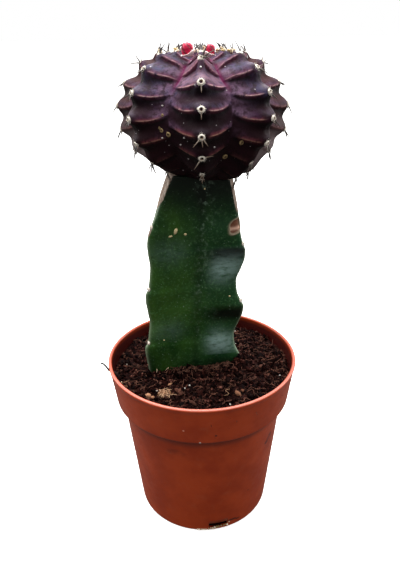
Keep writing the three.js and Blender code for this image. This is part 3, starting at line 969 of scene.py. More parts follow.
@dataclass
class NurseryPot:
    """The round pot, with a collar, a rolled lip, a shoulder under the collar and drain slots."""

    height: float = 77.3
    rim_radius: float = 42.5
    collar_height: float = 18.2
    collar_foot_radius: float = 39.9
    shoulder_height: float = 2.5
    body_top_radius: float = 36.9
    base_radius: float = 31.0
    edge_radius: float = 0.9
    wall: float = 1.0
    floor: float = 1.6
    middle_radius: float = 12.0
    wall_heights: Pair = (40.0, 20.0)
    lip: float = 0.8
    lip_arc: Pair = (-0.15 * np.pi, np.pi)
    blunting: float = 0.55
    longest_step: float = 3.0
    columns: int = 224
    slot_turn: float = -78.0
    slot_count: int = 4
    slot_width: float = 9.0
    slot_bottom: float = 1.2
    slot_height: float = 3.4
    slot_reach: float = 4.0
    root_ends: tuple[Triple, Triple] = ((2.0, -31.0, 1.1), (10.8, -29.3, 2.0))
    torn_flake: tuple[Triple, Triple] = ((-3.2, -30.9, 0.85), (0.8, -30.9, 0.85))
    last_end: Triple = (11.4, -28.9, 3.2)

    @property
    def collar_foot(self) -> float:
        """The height of the collar's lower edge."""
        return self.height - self.collar_height

    @property
    def body_top(self) -> float:
        """The height where the plain wall begins."""
        return self.collar_foot - self.shoulder_height

    def inner_radius(self, height: Reals) -> Array:
        """The radius of the inside at a height."""
        places = (self.floor, self.body_top, self.collar_foot, self.height)
        radii = (self.base_radius, self.body_top_radius, self.collar_foot_radius, self.rim_radius - 0.5)
        return np.interp(height, places, np.array(radii) - self.wall)

    def outline(self) -> Array:
        """The wall's closed outline as radius and height, up the outside and down the inside.

        The base's edge and the lip are arcs, and the shoulder's two corners are blunt.
        """
        quarter = np.linspace(0, np.pi / 2, 7)
        edge = np.stack([np.sin(quarter), 1 - np.cos(quarter)], axis=-1) * self.edge_radius
        edge += [self.base_radius - self.edge_radius, 0]
        outside = [
            [self.body_top_radius - 0.07, self.body_top - self.blunting],
            [self.body_top_radius + 0.3, self.body_top + 0.3],
            [self.collar_foot_radius - 0.02, self.collar_foot],
            [self.collar_foot_radius + 0.05, self.collar_foot + self.blunting],
            [self.rim_radius - 0.55, self.height - 3.0],
            [self.rim_radius - 0.42, self.height - 2.2],
        ]
        lip_turn = np.linspace(*self.lip_arc, 14)
        lip_middle = np.array([self.rim_radius - self.lip, self.height - self.lip])
        lip = lip_middle + self.lip * np.stack([np.cos(lip_turn), np.sin(lip_turn)], axis=-1)
        corners = (self.height - 2.6, self.collar_foot, self.body_top, *self.wall_heights, self.floor + 1)
        inside = np.stack([self.inner_radius(corners), corners], axis=-1)
        floor = [[self.base_radius - self.wall - 1.0, self.floor], [self.middle_radius, self.floor]]
        parts = [[[self.middle_radius, 0.0]], edge, outside, lip, inside, floor]
        return self.finer(np.concatenate([np.array(part, float) for part in parts]))

    def finer(self, outline: Array) -> Array:
        """Split the long stretches of an outline.

        Args:
            outline: Rows of radius and height.

        Returns:
            The same outline with no step over the longest one.
        """
        rows = [outline[:1]]
        for start, end in zip(outline[:-1], outline[1:]):
            count = max(1, int(np.ceil(np.linalg.norm(end - start) / self.longest_step)))
            share = np.arange(1, count + 1)[:, None] / count
            rows.append(start + (end - start) * share)
        return np.concatenate(rows)

    def wall_shell(self) -> Shell:
        """The outline turned about the pot's axis, with the attributes that its finish reads."""
        outline = self.outline()
        rings = around(outline[:, :1], all_round(self.columns), outline[:, 1:])
        shell = lofted(rings, np.zeros(3), UP * self.floor)
        x, y, height = shell.points.T
        radius = np.hypot(x, y)
        # lip: a painted highlight on the rim's top, stronger at the front
        lip = ramp(height, self.height - 0.6, self.height - 0.15)
        lip = lip * ramp(radius, self.rim_radius - 1.3, self.rim_radius - 0.9)
        lip = lip * (0.4 + 0.6 * ramp(-y / self.rim_radius, 0.2, 1.0))
        # inside: painted shade on the inner wall, below the lip
        inside = 1 - ramp(radius - self.inner_radius(height), 0.1, 0.4)
        # crease: painted shade along the shoulder under the collar
        crease = 0.85 * hump(height - self.body_top + 0.2, 0.6) * (1 - inside)
        inside = inside * ramp(self.height - height, 0.4, 1.2)
        return shell.shaded(lip=lip, inside=inside, crease=crease)

    def slot_cutters(self) -> Shell:
        """A block for each drain slot, across the wall just above the base."""
        blocks = []
        for i in range(self.slot_count):
            out = around(1.0, np.radians(self.slot_turn + 360 / self.slot_count * i), 0.0)
            across = out * self.slot_reach
            along = np.cross(UP, out) * self.slot_width / 2
            corners = [across * a + along * b for a, b in ((-1, -1), (1, -1), (1, 1), (-1, 1))]
            base = out * self.base_radius + UP * self.slot_bottom + np.array(corners)
            top = base + UP * self.slot_height
            block = lofted(np.stack([base, top]), base.mean(0), top.mean(0))
            blocks.append(block.shaded(lip=0.0, inside=0.0, crease=0.0))
        return joined(blocks)

    def slot_litter(self) -> Shell:
        """Root ends and a torn flake that stick out along the front slot's lower edge."""
        random = np.random.default_rng(71)
        roots = row_between(*self.root_ends, 10)
        roots = roots + random.normal(0, 0.15, roots.shape)
        places = np.concatenate([roots, row_between(*self.torn_flake, 7), [self.last_end]])
        return grains(places, 0.5 * random.uniform(0.7, 1.2, places.shape), random, 0.35)

    def build(self, finish: Material) -> None:
        """Make the pot, cut its slots and let it stand for the plain solid.

        Args:
            finish: The pot's material.
        """
        pot = make_piece("nursery_pot", self.wall_shell(), finish)
        cutter = make_piece("slot_cutter", self.slot_cutters(), finish, smooth=False)
        cut = pot.modifiers.new("slots", "BOOLEAN")
        cut.object = cutter
        cut.operation = "DIFFERENCE"
        cut.solver = "EXACT"
        bpy.context.view_layer.objects.active = pot
        bpy.ops.object.modifier_apply(modifier=cut.name)
        bpy.data.objects.remove(cutter)
        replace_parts(pot, "pot")
        make_piece("slot_litter", self.slot_litter(), SLOT_LITTER.material())


# The stem


@dataclass(frozen=True)
class StemRib:
    """One rib of the stem, and the face that follows it anticlockwise.

    The margin has a reach, with its spread towards the soil and its waves. Above the top areole
    it draws in by the three numbers of its shoulder, and there it is cut off by a plane that faces
    trim_turn, at trim_reach from the stem's middle at the graft.
    """

    turn: float
    reach: float
    spread: float
    wave: float
    swell: float
    top_areole: float
    areole_level: float
    trim_turn: float
    trim_reach: float
    trim_slope: float
    face_dip: float
    shoulder: Triple


RibPair = tuple[StemRib, StemRib]


@dataclass
class Rootstock:
    """The three-ribbed green stem."""

    bottom: float = 34.0
    soil_height: float = 70.0
    axis_at_soil: Pair = (-4.5, 6.0)
    axis_at_graft: Pair = (0.3, 1.2)
    wave_length: float = 26.6
    swell_drop: float = 20.4
    end_ratio: float = 1.03
    apex_ratio: float = 1.14
    bluntness: float = 14.0
    columns_per_face: int = 84
    rows: int = 270
    scar_place: Triple = (15.4, -5.5, 139.8)
    scar_size: Pair = (3.8, 3.2)
    sheen_steps: Pair = (0.39, 0.38)
    shoulder_heights: Triple = (4.0, 8.0, 20.0)
    foot_reach: float = 19.0
    foot_heights: Pair = (58.0, 64.0)
    areole_radius: float = 1.05
    spines_per_areole: int = 4
    scratch_flakes: tuple[Numbers, ...] = (
        *((-9.8, 0.8, 1.7, 138.7), (-5.9, 0.65, 0.65, 137.3), (-11.9, 1.0, 0.5, 136.8)),
        *((2.0, 0.45, 0.45, 155.9), (14.6, 0.5, 0.4, 107.6), (-16.5, 0.35, 0.3, 88.0)),
    )
    ribs: tuple[StemRib, ...] = (
        StemRib(-16.0, 19.6, 2.2, 1.9, 0.85, 131.4, 0.3, -8.0, 13.1, 0.29, 0.22, (1.4, 2.0, 2.9)),
        StemRib(98.0, 20.5, 1.5, 1.4, 0.6, 135.6, 0.0, 98.0, 14.0, 0.40, 0.22, (1.6, 2.4, 3.4)),
        StemRib(210.0, 23.2, 0.4, 1.0, 0.35, 140.1, -0.3, 192.0, 12.8, 0.44, 0.07, (2.6, 3.6, 4.5)),
    )

    def rib_pairs(self) -> list[RibPair]:
        """The two ribs beside each face, anticlockwise."""
        return list(zip(self.ribs, self.ribs[1:] + self.ribs[:1]))

    @staticmethod
    def span(ribs: RibPair) -> float:
        """The angle between two ribs in degrees."""
        return (ribs[1].turn - ribs[0].turn) % 360

    def axis(self, height: Reals) -> Array:
        """The stem's middle line, which leans a little to the front and the right as it rises."""
        share = (height - self.soil_height) / (GRAFT_HEIGHT - self.soil_height)
        ends = zip(self.axis_at_soil, self.axis_at_graft)
        x, y = (low + (high - low) * share for low, high in ends)
        return np.stack([x, y, height], axis=-1)

    def wave(self, rib: StemRib, height: Array) -> Array:
        """A margin's wave from -1 to 1: a quick step out below each areole and a slow draw in."""
        phase = np.mod((rib.top_areole - height) / self.wave_length, 1.0)
        places = (0.0, 0.1, 0.2, 0.4, 0.65, 0.85, 1.0)
        values = (rib.areole_level, 1.0, 0.9, 0.05, -1.0, -0.65, rib.areole_level)
        return smooth_line(places, values, phase)

    def reach(self, rib: StemRib, height: Array) -> Array:
        """How far a rib's margin lies from the stem's middle line at a height."""
        share = (GRAFT_HEIGHT - height) / (GRAFT_HEIGHT - self.soil_height)
        above = np.maximum(height - rib.top_areole, 0)
        wave = np.where(above > 0, rib.areole_level, self.wave(rib, height))
        waved = rib.reach + rib.spread * np.minimum(share, 1.2) + rib.wave * (wave - 0.5)
        return waved + (self.foot_reach - waved) * (1 - ramp(height, *self.foot_heights))

    def shoulder(self, rib: StemRib, height: Array) -> Array:
        """How far the blunt end of a margin draws in above its top areole."""
        return smooth_line((0, *self.shoulder_heights), (0, *rib.shoulder), height - rib.top_areole)

    def surface(self, turn: Array, height: Array) -> Skin:
        """Points of the skin, each on the face that its direction crosses.

        Args:
            turn: Directions round the stem in degrees.
            height: Heights, of the same shape.

        Returns:
            The points, and the attributes that the skin's finish reads.
        """
        points = np.zeros(turn.shape + (3,))
        shades: dict[str, Array] = {}
        for ribs in self.rib_pairs():
            here = np.mod(turn - ribs[0].turn, 360) <= self.span(ribs)
            skin, found = self.face(ribs, turn, height)
            points = np.where(here[..., None], skin, points)
            shades = {key: np.where(here, value, shades.get(key, 0.0)) for key, value in found.items()}
        return slanted(points), shades

    def face(self, ribs: RibPair, turn: Array, height: Array) -> Skin:
        """One face of the stem, between two ribs.

        Its section is the straight line from apex to apex, dipped in its middle. A rounded minimum
        with the margin's reach and with the planes of the two trimmed shoulders cuts it off
        bluntly. Beside each margin the face swells and draws back in turn.

        Args:
            ribs: The two ribs beside the face.
            turn: Directions round the stem in degrees.
            height: Heights, of the same shape.

        Returns:
            The points and their attributes, which hold in directions between the two ribs.
        """
        first, span = ribs[0], self.span(ribs)
        into = np.mod(turn - first.turn, 360)
        share = np.clip(into / span, 0, 1)
        reaches = [self.reach(rib, height) for rib in ribs]
        a, b = (self.apex_ratio * reach for reach in reaches)
        across = a * np.sin(np.radians(into)) + b * np.sin(np.radians(span - into))
        chord = a * b * np.sin(np.radians(span)) / np.maximum(across, 1e-6)
        flat = np.where(into <= span, chord * (1 - first.face_dip * np.sin(np.pi * share)), 1.0)
        ends = [reach - self.shoulder(rib, height) for reach, rib in zip(reaches, ribs)]
        end = self.end_ratio * (ends[0] * (1 - share) + ends[1] * share)
        cut = np.minimum(*(self.trim(rib, turn, height) for rib in ribs))
        power = -self.bluntness
        radius = (flat**power + end**power + cut**power) ** (1 / power)
        swell = 0.0
        for rib, off in zip(ribs, (share, 1 - share)):
            wave = np.cos(FULL_TURN * (height - rib.top_areole + self.swell_drop) / self.wave_length)
            swell = swell + rib.swell * wave * hump(off - 0.16, 0.16) * ramp(off, 0, 0.1)
        swell = swell * ramp(height, 60, 68) * (1 - ramp(height, GRAFT_HEIGHT - 22, GRAFT_HEIGHT - 10))
        outward = around(1.0, np.radians(first.turn + span / 2), 0.0)
        points = self.axis(height) + around(radius, np.radians(turn), 0.0) + outward * swell[..., None]
        wax, dark = self.frost(ribs, share, height)
        shades = {
            "side": share,
            "cork": ramp(np.minimum(flat, end) - cut, 0.1, 0.35),
            "wax": wax,
            "shade": dark,
            "pores": hump(share - 0.58, 0.16) * ramp(height, 80, 100),
            "line": hump(np.minimum(share, 1 - share), 0.012) * 0.7,
        }
        return points, shades

    def frost(self, ribs: RibPair, share: Array, height: Array) -> tuple[Array, Array]:
        """Find where a face gets a painted sheen and where it gets painted shade.

        The painted sheen lies under each margin's notches, where the face swells towards the light.
        Painted shade lies under the areoles, in the middle of the face, under the graft and at the soil.

        Args:
            ribs: The two ribs beside the face.
            share: How far across the face each point lies.
            height: Heights, of the same shape.

        Returns:
            The shares of painted sheen and of painted shade.
        """
        wax = np.zeros(share.shape)
        # painted shade, a little down the middle of each face
        dark = hump(share - 0.5, 0.1) * 0.3
        start, step = self.sheen_steps
        for rib, off in zip(ribs, (share, 1 - share)):
            count, below = np.divmod((rib.top_areole - height) / self.wave_length, 1.0)
            under_top = rib.swell**2 * (count >= 0)
            # painted sheen under each notch of the margin
            sheen = 1.2 * under_top * hump(off - 0.13, 0.15)
            wax = wax + sheen * hump(below - start - step * count, 0.2)
            # painted shade under each areole
            shadow = 1.5 * under_top * hump(off - 0.08, 0.24)
            dark = dark + shadow * hump(below - 0.1 - 0.12 * count, 0.16) * ramp(below, 0, 0.08)
        # painted shade under the graft and near the soil
        top = ramp(height, GRAFT_HEIGHT - 22, GRAFT_HEIGHT - 2)
        foot = 1 - ramp(height, self.soil_height + 1, self.soil_height + 16)
        return 0.85 * wax, np.clip(dark + 0.95 * top + 0.4 * foot, 0, 0.97)

    def trim(self, rib: StemRib, turn: Array, height: Array) -> Array:
        """How far the plane of a rib's trimmed shoulder lies from the middle in each direction."""
        facing = np.cos(np.radians(turn - rib.trim_turn))
        distance = rib.trim_reach + rib.trim_slope * (GRAFT_HEIGHT - height)
        return np.where(facing > 0.1, distance / np.maximum(facing, 0.1), 1e3)

    def turns(self) -> Array:
        """Directions round the stem, with one on each margin and more near it than mid-face."""
        share = np.arange(self.columns_per_face) / self.columns_per_face
        crowded = share - 0.7 * np.sin(FULL_TURN * share) / FULL_TURN
        return np.concatenate([ribs[0].turn + self.span(ribs) * crowded for ribs in self.rib_pairs()])

    def skin_shell(self) -> Shell:
        """The whole skin, with the healed scar on the right margin pressed in."""
        heights = np.linspace(self.bottom, GRAFT_HEIGHT, self.rows)
        turn, height = np.meshgrid(self.turns(), heights)
        points, shades = self.surface(turn, height)
        noise = SeededNoise(11).layered(points, 7.0, 2)
        out = unit((points - self.axis(height)) * [1, 1, 0])
        scar, rim, callus = self.scar_shares(points)
        points = points + out * (0.15 * noise - 0.6 * scar + 0.25 * rim + 0.3 * callus)[..., None]
        shell = lofted(points, self.axis(self.bottom), slanted(self.axis(GRAFT_HEIGHT)))
        sound = 1 - np.maximum(shades["cork"], scar)
        full = {**shades, "scar": scar, "callus": callus, "rim": rim, "sound": sound}
        return shell.shaded(**{key: np.append(value.ravel(), [0, 0]) for key, value in full.items()})

    def scar_shares(self, points: Array) -> tuple[Array, Array, Array]:
        """The shares of the healed scar, a blunt slanting oval, of its rim and of its callus."""
        wide, tall = self.scar_size
        x, y, z = np.moveaxis((points - self.scar_place) / (wide, wide, tall), -1, 0)
        low = z - 0.35 * np.minimum(x, 0.6)
        away = (np.abs(x) ** 3 + np.clip(y, 0, None) ** 3 + np.abs(low) ** 3) ** (1 / 3)
        scar = 1 - ramp(away, 0.82, 0.92)
        return scar, hump(away - 0.95, 0.1), scar * hump(z + 0.38, 0.22)

    def areole_places(self) -> list[tuple[Array, Array]]:
        """The place and direction of each areole on the margins."""
        found = []
        for rib in self.ribs:
            heights = np.arange(rib.top_areole, self.soil_height + 9, -self.wave_length)
            out = unit(around(1.0, np.radians(rib.turn), 0.25))
            spots, _ = self.surface(np.full(heights.shape, rib.turn + 0.01), heights)
            found += [(spot, out) for spot in spots]
        return found

    def areoles(self) -> tuple[Shell, Shell]:
        """A small grey cushion and a few short spines on each areole."""
        random = np.random.default_rng(31)
        wool, paths = [], []
        for place, out in self.areole_places():
            height = 0.75 * np.cos(np.linspace(np.pi / 2, 0, 6))[:, None] * np.ones(12)
            height = height + random.uniform(-0.08, 0.08, height.shape)
            over = unit(np.cross(out, UP))
            wool.append(cushion(place, out, over, self.areole_radius, height, 0.35, 1.0).shaded(pit=0.15))
            for _ in range(self.spines_per_areole):
                way = unit(out + random.normal(0, 0.55, 3) + UP * 0.35)
                length = random.uniform(1.2, 2.6)
                paths.append(place + way * np.linspace(-0.3, length, 5)[:, None])
        radii = np.tile(np.linspace(0.13, 0.05, 5), (len(paths), 1))
        return joined(wool), tubes(np.array(paths), radii, 4).shaded(age=0.5)

    def flakes(self) -> Shell:
        """Dry tan flakes on the front face, from old scratches."""
        shells = []
        for x, wide, tall, height in self.scratch_flakes:
            turns = np.linspace(215, 335, 400)
            points, _ = self.surface(turns, np.full(turns.shape, height))
            place = points[np.argmin(np.abs(points[:, 0] - x))]
            shape = (GRAIN_POINTS * [wide, 0.25, tall]) @ self.tilt(24.0 if tall > 1 else -8.0)
            shells.append(Shell(place + shape, grain_faces()).shaded(tint=0.9))
        return joined(shells)

    @staticmethod
    def tilt(degrees: float) -> Array:
        """The matrix that turns by degrees about the viewing direction, seen from the front."""
        c, s = np.cos(np.radians(degrees)), np.sin(np.radians(degrees))
        return np.array([[c, 0, -s], [0, 1, 0], [s, 0, c]])

    def build(self, skin: Material, wool: Material, horn: Material) -> None:
        """Make the stem with its areoles, spines and flakes.

        Args:
            skin: The skin's material.
            wool: The areoles' material.
            horn: The spines' material.
        """
        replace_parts(make_piece("stem_skin", self.skin_shell(), skin), "rootstock")
        cushions, spines = self.areoles()
        make_piece("stem_areole_wool", cushions, wool)
        make_piece("stem_spines", spines, horn)
        make_piece("stem_flakes", self.flakes(), SCRATCH_FLAKE.material())


# The head


@dataclass(frozen=True)
class Areole:
    """One areole of the head: its rib, its count from the crown, its place and its directions."""

    rib: int
    count: int
    latitude: float
    place: Array
    out: Array
    down: Array
    side: Array


@dataclass(frozen=True)
class SkinPlaces:
    """Places on the head's skin, by what lies round them.

    "off" runs from 0 on a ridge to 1 in a valley, "sideways" from -1 at the head's left to 1 at
    its right, and "facing" is 1 in front. "level" counts areole rows down the rib, and "below" is
    how far a place lies from one cross band (0) down to the next (1).
    """

    turn: Array
    latitude: Array
    off: Array
    sideways: Array
    facing: Array
    level: Array
    below: Array

    @property
    def flank(self) -> Array:
        """Where the cross bands stand out: between the ridge and the bottom of the valley."""
        return ramp(self.off, 0.12, 0.3) * (1 - 0.8 * ramp(self.off, 0.75, 0.98))


# The front rib's spines by their areole's count, each as its turn from straight down, its lean
# from the skin's upright and its length
FRONT_SPINES: dict[int, list[Triple]] = {
    4: [(2, 72, 1.9)],
    5: [(0, 72, 1.8)],
    6: [(-42, 66, 2.7), (6, 60, 2.0), (36, 66, 2.1)],
    7: [(-34, 70, 3.6), (98, 82, 2.3)],
    8: [(-20, 50, 2.0), (12, 60, 2.4)],
    9: [(0, 40, 1.6)],
}


@dataclass
class CactusHead:
    """The ribbed dark head: its skin, and the wool and spines of its areoles."""

    centre: Triple = (1.2, 0.0, 183.0)
    rib_turns: Numbers = (-0.5, 49.5, 93.5, 137, 180.5, 224, 265, 308)
    rib_phases: Numbers = (0, 0.5, -0.28, 0.45, 0.05, 0.5, -0.22, 0.5)
    row_latitudes: Numbers = (90, 70.5, 56, 42.5, 24.9, 9.2, -6.9, -23.3, -43.5, -57, -67)
    outline_latitudes: Numbers = (
        *(-67, -57, -43.5, -33.5, -16, -6.7, 5),
        *(17.5, 32, 38, 44.5, 52.5, 66, 78, 90),
    )
    outline_radii: Numbers = (
        *(25.0, 25.9, 27.1, 27.6, 30.3, 31.4, 31.9),
        *(31.7, 30.8, 30.4, 29.5, 27.4, 24.1, 22.6, 21.9),
    )
    flare_latitudes: Numbers = (-67, -50, -35, -20, 0, 15, 33, 50, 70)
    flare_left: Numbers = (1.0, 2.4, 1.8, 1.0, 0.5, 0, -1.7, -0.8, 0)
    flare_right: Numbers = (0.0, 0.8, 2.0, 2.2, 1.4, 0.2, -1.6, -0.8, 0)
    mean_radius: float = 30.0
    neck_radius: float = 9.6
    valley_depth: float = 0.235
    ridge_rounding: float = 0.16
    valley_rounding: float = 0.13
    scallop: float = 2.3
    roughness: float = 0.22
    band_step: float = 1.35
    band_lip: float = 0.16
    band_sag: float = 0.13
    climb_latitudes: Numbers = (-50, -16, 9, 25, 45, 60)
    band_climbs: Numbers = (0.1, 0.2, 0.3, 0.22, -0.16, -0.2)
    row_spacing: float = 8.7
    columns_per_rib: int = 36
    rows_per_areole: int = 30
    areole_rows: int = 9
    lowest_areole: float = -54.0
    areole_radii: Numbers = (0.8, 0.8, 1.0, 1.24, 1.26, 1.3, 1.3, 0.9, 0.6)
    side_areoles: float = 0.86
    hairs_per_areole: int = 40
    shortest_spine: float = 2.6
    longest_spine: float = 4.6
    spine_latitudes: Numbers = (-25, 5, 28, 42, 52)
    spine_shares: Numbers = (1.0, 0.65, 0.65, 0.95, 0.6)
    spine_fan: float = 38.0
    spine_radii: Triple = (0.29, 0.27, 0.16)
    draws: RepeatedDraws = field(default_factory=lambda: RepeatedDraws(21))
    ring_scars: tuple[Triple, ...] = (
        *((-33, -6, 0.8), (-28, -9.5, 0.95), (-34.5, -4.5, 0.5)),
        *((34, -17, 1.0), (26, -35, 1.1), (-31, 5, 0.55)),
    )
    dust_grains: tuple[Pair, ...] = ((-32, 12), (-13.5, -10), (-1, 37), (-18, -17), (9, -17), (-33, -12))
    crown_tufts: tuple[Triple, ...] = (
        *((7.0, -12.6, 205.1), (8.3, -12.0, 205.4), (11.2, -11.0, 205.2), (12.6, -10.4, 204.9)),
        *((0.2, -13.6, 205.0), (-12.9, -10.0, 205.0), (-7.4, -10.8, 205.4), (2.2, -12.0, 205.6)),
    )

    def rib_at(self, turn: Array) -> tuple[Array, Array]:
        """The number of each direction's nearest rib, and how far it lies from ridge (0) to valley (1)."""
        edges = np.array(self.rib_turns + (self.rib_turns[0] + 360,))
        low = np.clip(np.searchsorted(edges, turn, side="right") - 1, 0, len(self.rib_turns) - 1)
        share = (turn - edges[low]) / (edges[low + 1] - edges[low])
        return low + (share >= 0.5), 2 * np.minimum(share, 1 - share)

    def latitude_of(self, row: Reals) -> Array:
        """The latitude of a count of areole rows below the crown."""
        return smooth_line(tuple(range(len(self.row_latitudes))), self.row_latitudes, np.asarray(row, float))

    def direction(self, turn: Reals, latitude: Reals) -> Array:
        """The direction from the head's middle to a place on the head."""
        east, north = np.radians(turn), np.radians(latitude)
        flat = np.cos(north)
        return np.stack([flat * np.sin(east), -flat * np.cos(east), np.sin(north) + 0 * east], axis=-1)

    @staticmethod
    def front_pinch(turn: Array, latitude: Array) -> Array:
        """How far the valleys beside the front rib draw in to it high on the head, in degrees."""
        from_front = np.mod(turn + 180, 360) - 180
        wave = np.where(np.abs(from_front) < 50, np.sin(np.pi * from_front / 50), 0.0)
        return 7.0 * wave * ramp(latitude, 18, 42) * (1 - ramp(latitude, 56, 72))

    def places(self, turn: Array, row: Array) -> SkinPlaces:
        """Find what lies round each place on the skin.

        A cross band sags from each areole to the flanks and climbs again towards the valleys.

        Args:
            turn: Directions round the head in degrees.
            row: Counts of areole rows below the crown, of the same shape.

        Returns:
            The places.
        """
        latitude = self.latitude_of(row)
        rib, off = self.rib_at(turn)
        turn = turn - self.front_pinch(turn, latitude)
        facing = ramp(np.cos(np.radians(turn)), 0.85, 0.97)
        climb = smooth_line(self.climb_latitudes, self.band_climbs, latitude)
        climb = climb - 0.42 * facing * hump(latitude - 40, 13)
        skew = self.band_sag * ramp(latitude, -20, 8) * np.sin(np.pi * off) - climb * off**1.6
        level = row + np.take(self.rib_phases, rib % len(self.rib_turns))
        below = np.mod(level - skew, 1.0)
        return SkinPlaces(turn, latitude, off, np.sin(np.radians(turn)), facing, level, below)

    def reach(self, at: SkinPlaces) -> Array:
        """Find how far the skin lies from the head's middle.

        That is the ridge's outline, less a straight flank that falls to the valley. The ridge dips
        between two areoles. On the flanks a lip runs along each cross band, with a step inwards
        below it that fills up again towards the next band.

        Args:
            at: The places.

        Returns:
            The distance of each.
        """
        latitude, off = at.latitude, at.off
        flares = (self.flare_left, self.flare_right)
        left, right = (smooth_line(self.flare_latitudes, flare, latitude) for flare in flares)
        ridge = smooth_line(self.outline_latitudes, self.outline_radii, latitude)
        ridge = ridge + at.sideways**4 * np.where(at.sideways > 0, right, left)
        open_up = np.cos(np.radians(latitude)) ** 0.6 * ramp(latitude, -78, -40)
        rounding = self.ridge_rounding
        slope = (np.hypot(off, rounding) - rounding) / (np.hypot(1, rounding) - rounding)
        slope = slope * (1 - self.valley_rounding * (1 - ramp(latitude, 18, 34)) * slope**5)
        under, above = self.row_spacing * at.below, self.row_spacing * (1 - at.below)
        lip = hump(np.minimum(under, above), 0.3) * at.flank
        step = ramp(under, 0.05, 0.8) * (1 - at.below) ** 1.4 * at.flank
        dip = np.sin(np.pi * np.mod(at.level, 1.0) ** 0.92) ** 2.5 * (1 - off) ** 1.6
        dip = dip * (0.25 + 0.75 * ramp(latitude, -42, -12))
        relief = self.band_lip * lip - self.band_step * step - self.scallop * dip
        return ridge * (1 - self.valley_depth * open_up * slope) + open_up * relief

    def shades(self, at: SkinPlaces, height: Array) -> dict[str, Array]:
        """Work out the attributes that the skin's finish reads.

        Args:
            at: The places.
            height: The skin's height over the pot's base at each of them.

        Returns:
            The attributes' values.
        """
        latitude, off, facing = at.latitude, at.off, at.facing
        under, above = self.row_spacing * at.below, self.row_spacing * (1 - at.below)
        upper = ramp(latitude, -8, 22)
        high = ramp(latitude, 2 + 14 * facing, 26)
        dim_sides = 1 - 0.5 * at.sideways**4
        band_end = 0.62 + 0.16 * ramp(latitude, 20, 34)
        band_run = ramp(off, 0.14, 0.3) * (1 - ramp(off - band_end, 0, 0.24))
        band_fade = ramp(latitude, -40, -4)
        from_band = np.minimum(above, under + 0.3)
        blush_width = 0.6 + 0.4 * (1 - ramp(latitude, -12, 5)) + 0.75 * ramp(latitude, 25, 45)
        blush = (0.38 + 0.12 * facing) * hump(from_band - 0.3, blush_width) * band_run
        dim_band = dim_sides * (1 - 0.5 * ramp(latitude, 24, 40))
        # panel: painted shade below each band, fading towards the next one
        panel = ramp(under, 0.2, 1.4) * (1 - ramp(under, 3.4 + 1.4 * facing, 8.2))
        # painted shade below each areole
        painted_shade_under_areole = hump(off, 0.45) * ramp(under, 0.6, 1.6) * (1 - ramp(under, 2.4, 6.0))
        # how nearly edge-on each place is seen from the front, for the painted reflection
        edge_on = np.abs(np.cos(np.radians(at.turn))) + 0.445 * np.tan(np.radians(np.maximum(latitude, -68)))
        return {
            # height darkens the colour downwards, partly as painted shade
            "height": (height - GRAFT_HEIGHT) / 46,
            "top": upper,
            "bottom": 1 - upper,
            "haze": 0.85 * ramp(off, 0.32, 0.75) * ramp(latitude, -18, 8) * (1 - ramp(latitude, 30, 48)),
            "crease": hump(1 - off, 0.09) * ramp(latitude, 18, 32),
            "rose": 0.6 * facing * ramp(latitude, 22, 28) * (1 - 0.5 * hump(under - 1, 3)),
            "blush": blush * (0.1 + 0.9 * band_fade) * dim_sides,
            "band": hump(from_band - 0.15, 0.19) * band_run * (0.05 + 0.75 * band_fade) * dim_band,
            # under: painted shadow under each band's lip
            "under": 0.9 * hump(under - 1.1, 0.95) * at.flank,
            "panel": (0.75 + 0.25 * facing) * panel * (1 - high),
            "painted_shade_under_areole": (0.9 - 0.7 * ramp(latitude, 24, 36)) * painted_shade_under_areole,
            # painted reflection on the lower flanks seen edge-on
            "painted_edge_reflection": 0.7 * (1 - ramp(edge_on, 0.1, 0.26)) * hump(latitude + 28, 14) * ramp(off, 0.05, 0.2),
            # painted highlight on the slope above each areole
            "bloom": 0.6 * hump(above - 2.4, 1.0) * hump(off, 0.17) * ramp(latitude, -18, 0),
            "russet": 0.9 * np.abs(at.sideways) ** 5 * (1 - 0.5 * hump(above - 1.5, 1.5)),
        }

    def skin(self, turn: Array, row: Array) -> Skin:
        """Points of the skin, cut off flat at the graft.

        Args:
            turn: Directions round the head in degrees.
            row: Counts of areole rows below the crown, of the same shape.

        Returns:
            The points, and the attributes that the skin's finish reads.
        """
        at = self.places(turn, row)
        away = self.direction(at.turn, at.latitude)
        noise = SeededNoise(5).layered(away * self.mean_radius, 6.0, 3)
        rough = self.roughness * noise * (1 - ramp(-at.latitude, 35, 50))
        points = np.array(self.centre) + away * (self.reach(at) + rough)[..., None]
        points[..., 2] = np.maximum(points[..., 2], GRAFT_HEIGHT)
        points = slanted(points)
        return points, self.shades(at, points[..., 2])

    def skin_shell(self) -> Shell:
        """The whole skin, from the flat graft to the crown."""
        edges = np.array(self.rib_turns + (self.rib_turns[0] + 360,))
        share = np.arange(self.columns_per_rib) / self.columns_per_rib
        turns = (edges[:-1, None] + np.diff(edges)[:, None] * share).ravel()
        last = len(self.row_latitudes) - 1
        steps = np.linspace(last, 0.02, last * self.rows_per_areole)
        rows = steps - 0.4 * np.sin(2 * FULL_TURN * steps) / (2 * FULL_TURN)
        turn, row = np.meshgrid(turns, rows)
        points, shades = self.skin(turn, row)
        neck = np.array(self.centre) + self.direction(turns, 0.0 * turns) * self.neck_radius
        neck[:, 2] = GRAFT_HEIGHT
        points = np.concatenate([slanted(neck)[None], points])
        foot = np.array([*self.centre[:2], GRAFT_HEIGHT])
        shell = lofted(points, foot, points[-1].mean(0))
        full = {key: np.concatenate([value[:1], value]) for key, value in shades.items()}
        ends = {key: [0, value[-1].mean()] for key, value in full.items()}
        return shell.shaded(**{key: np.append(value.ravel(), ends[key]) for key, value in full.items()})

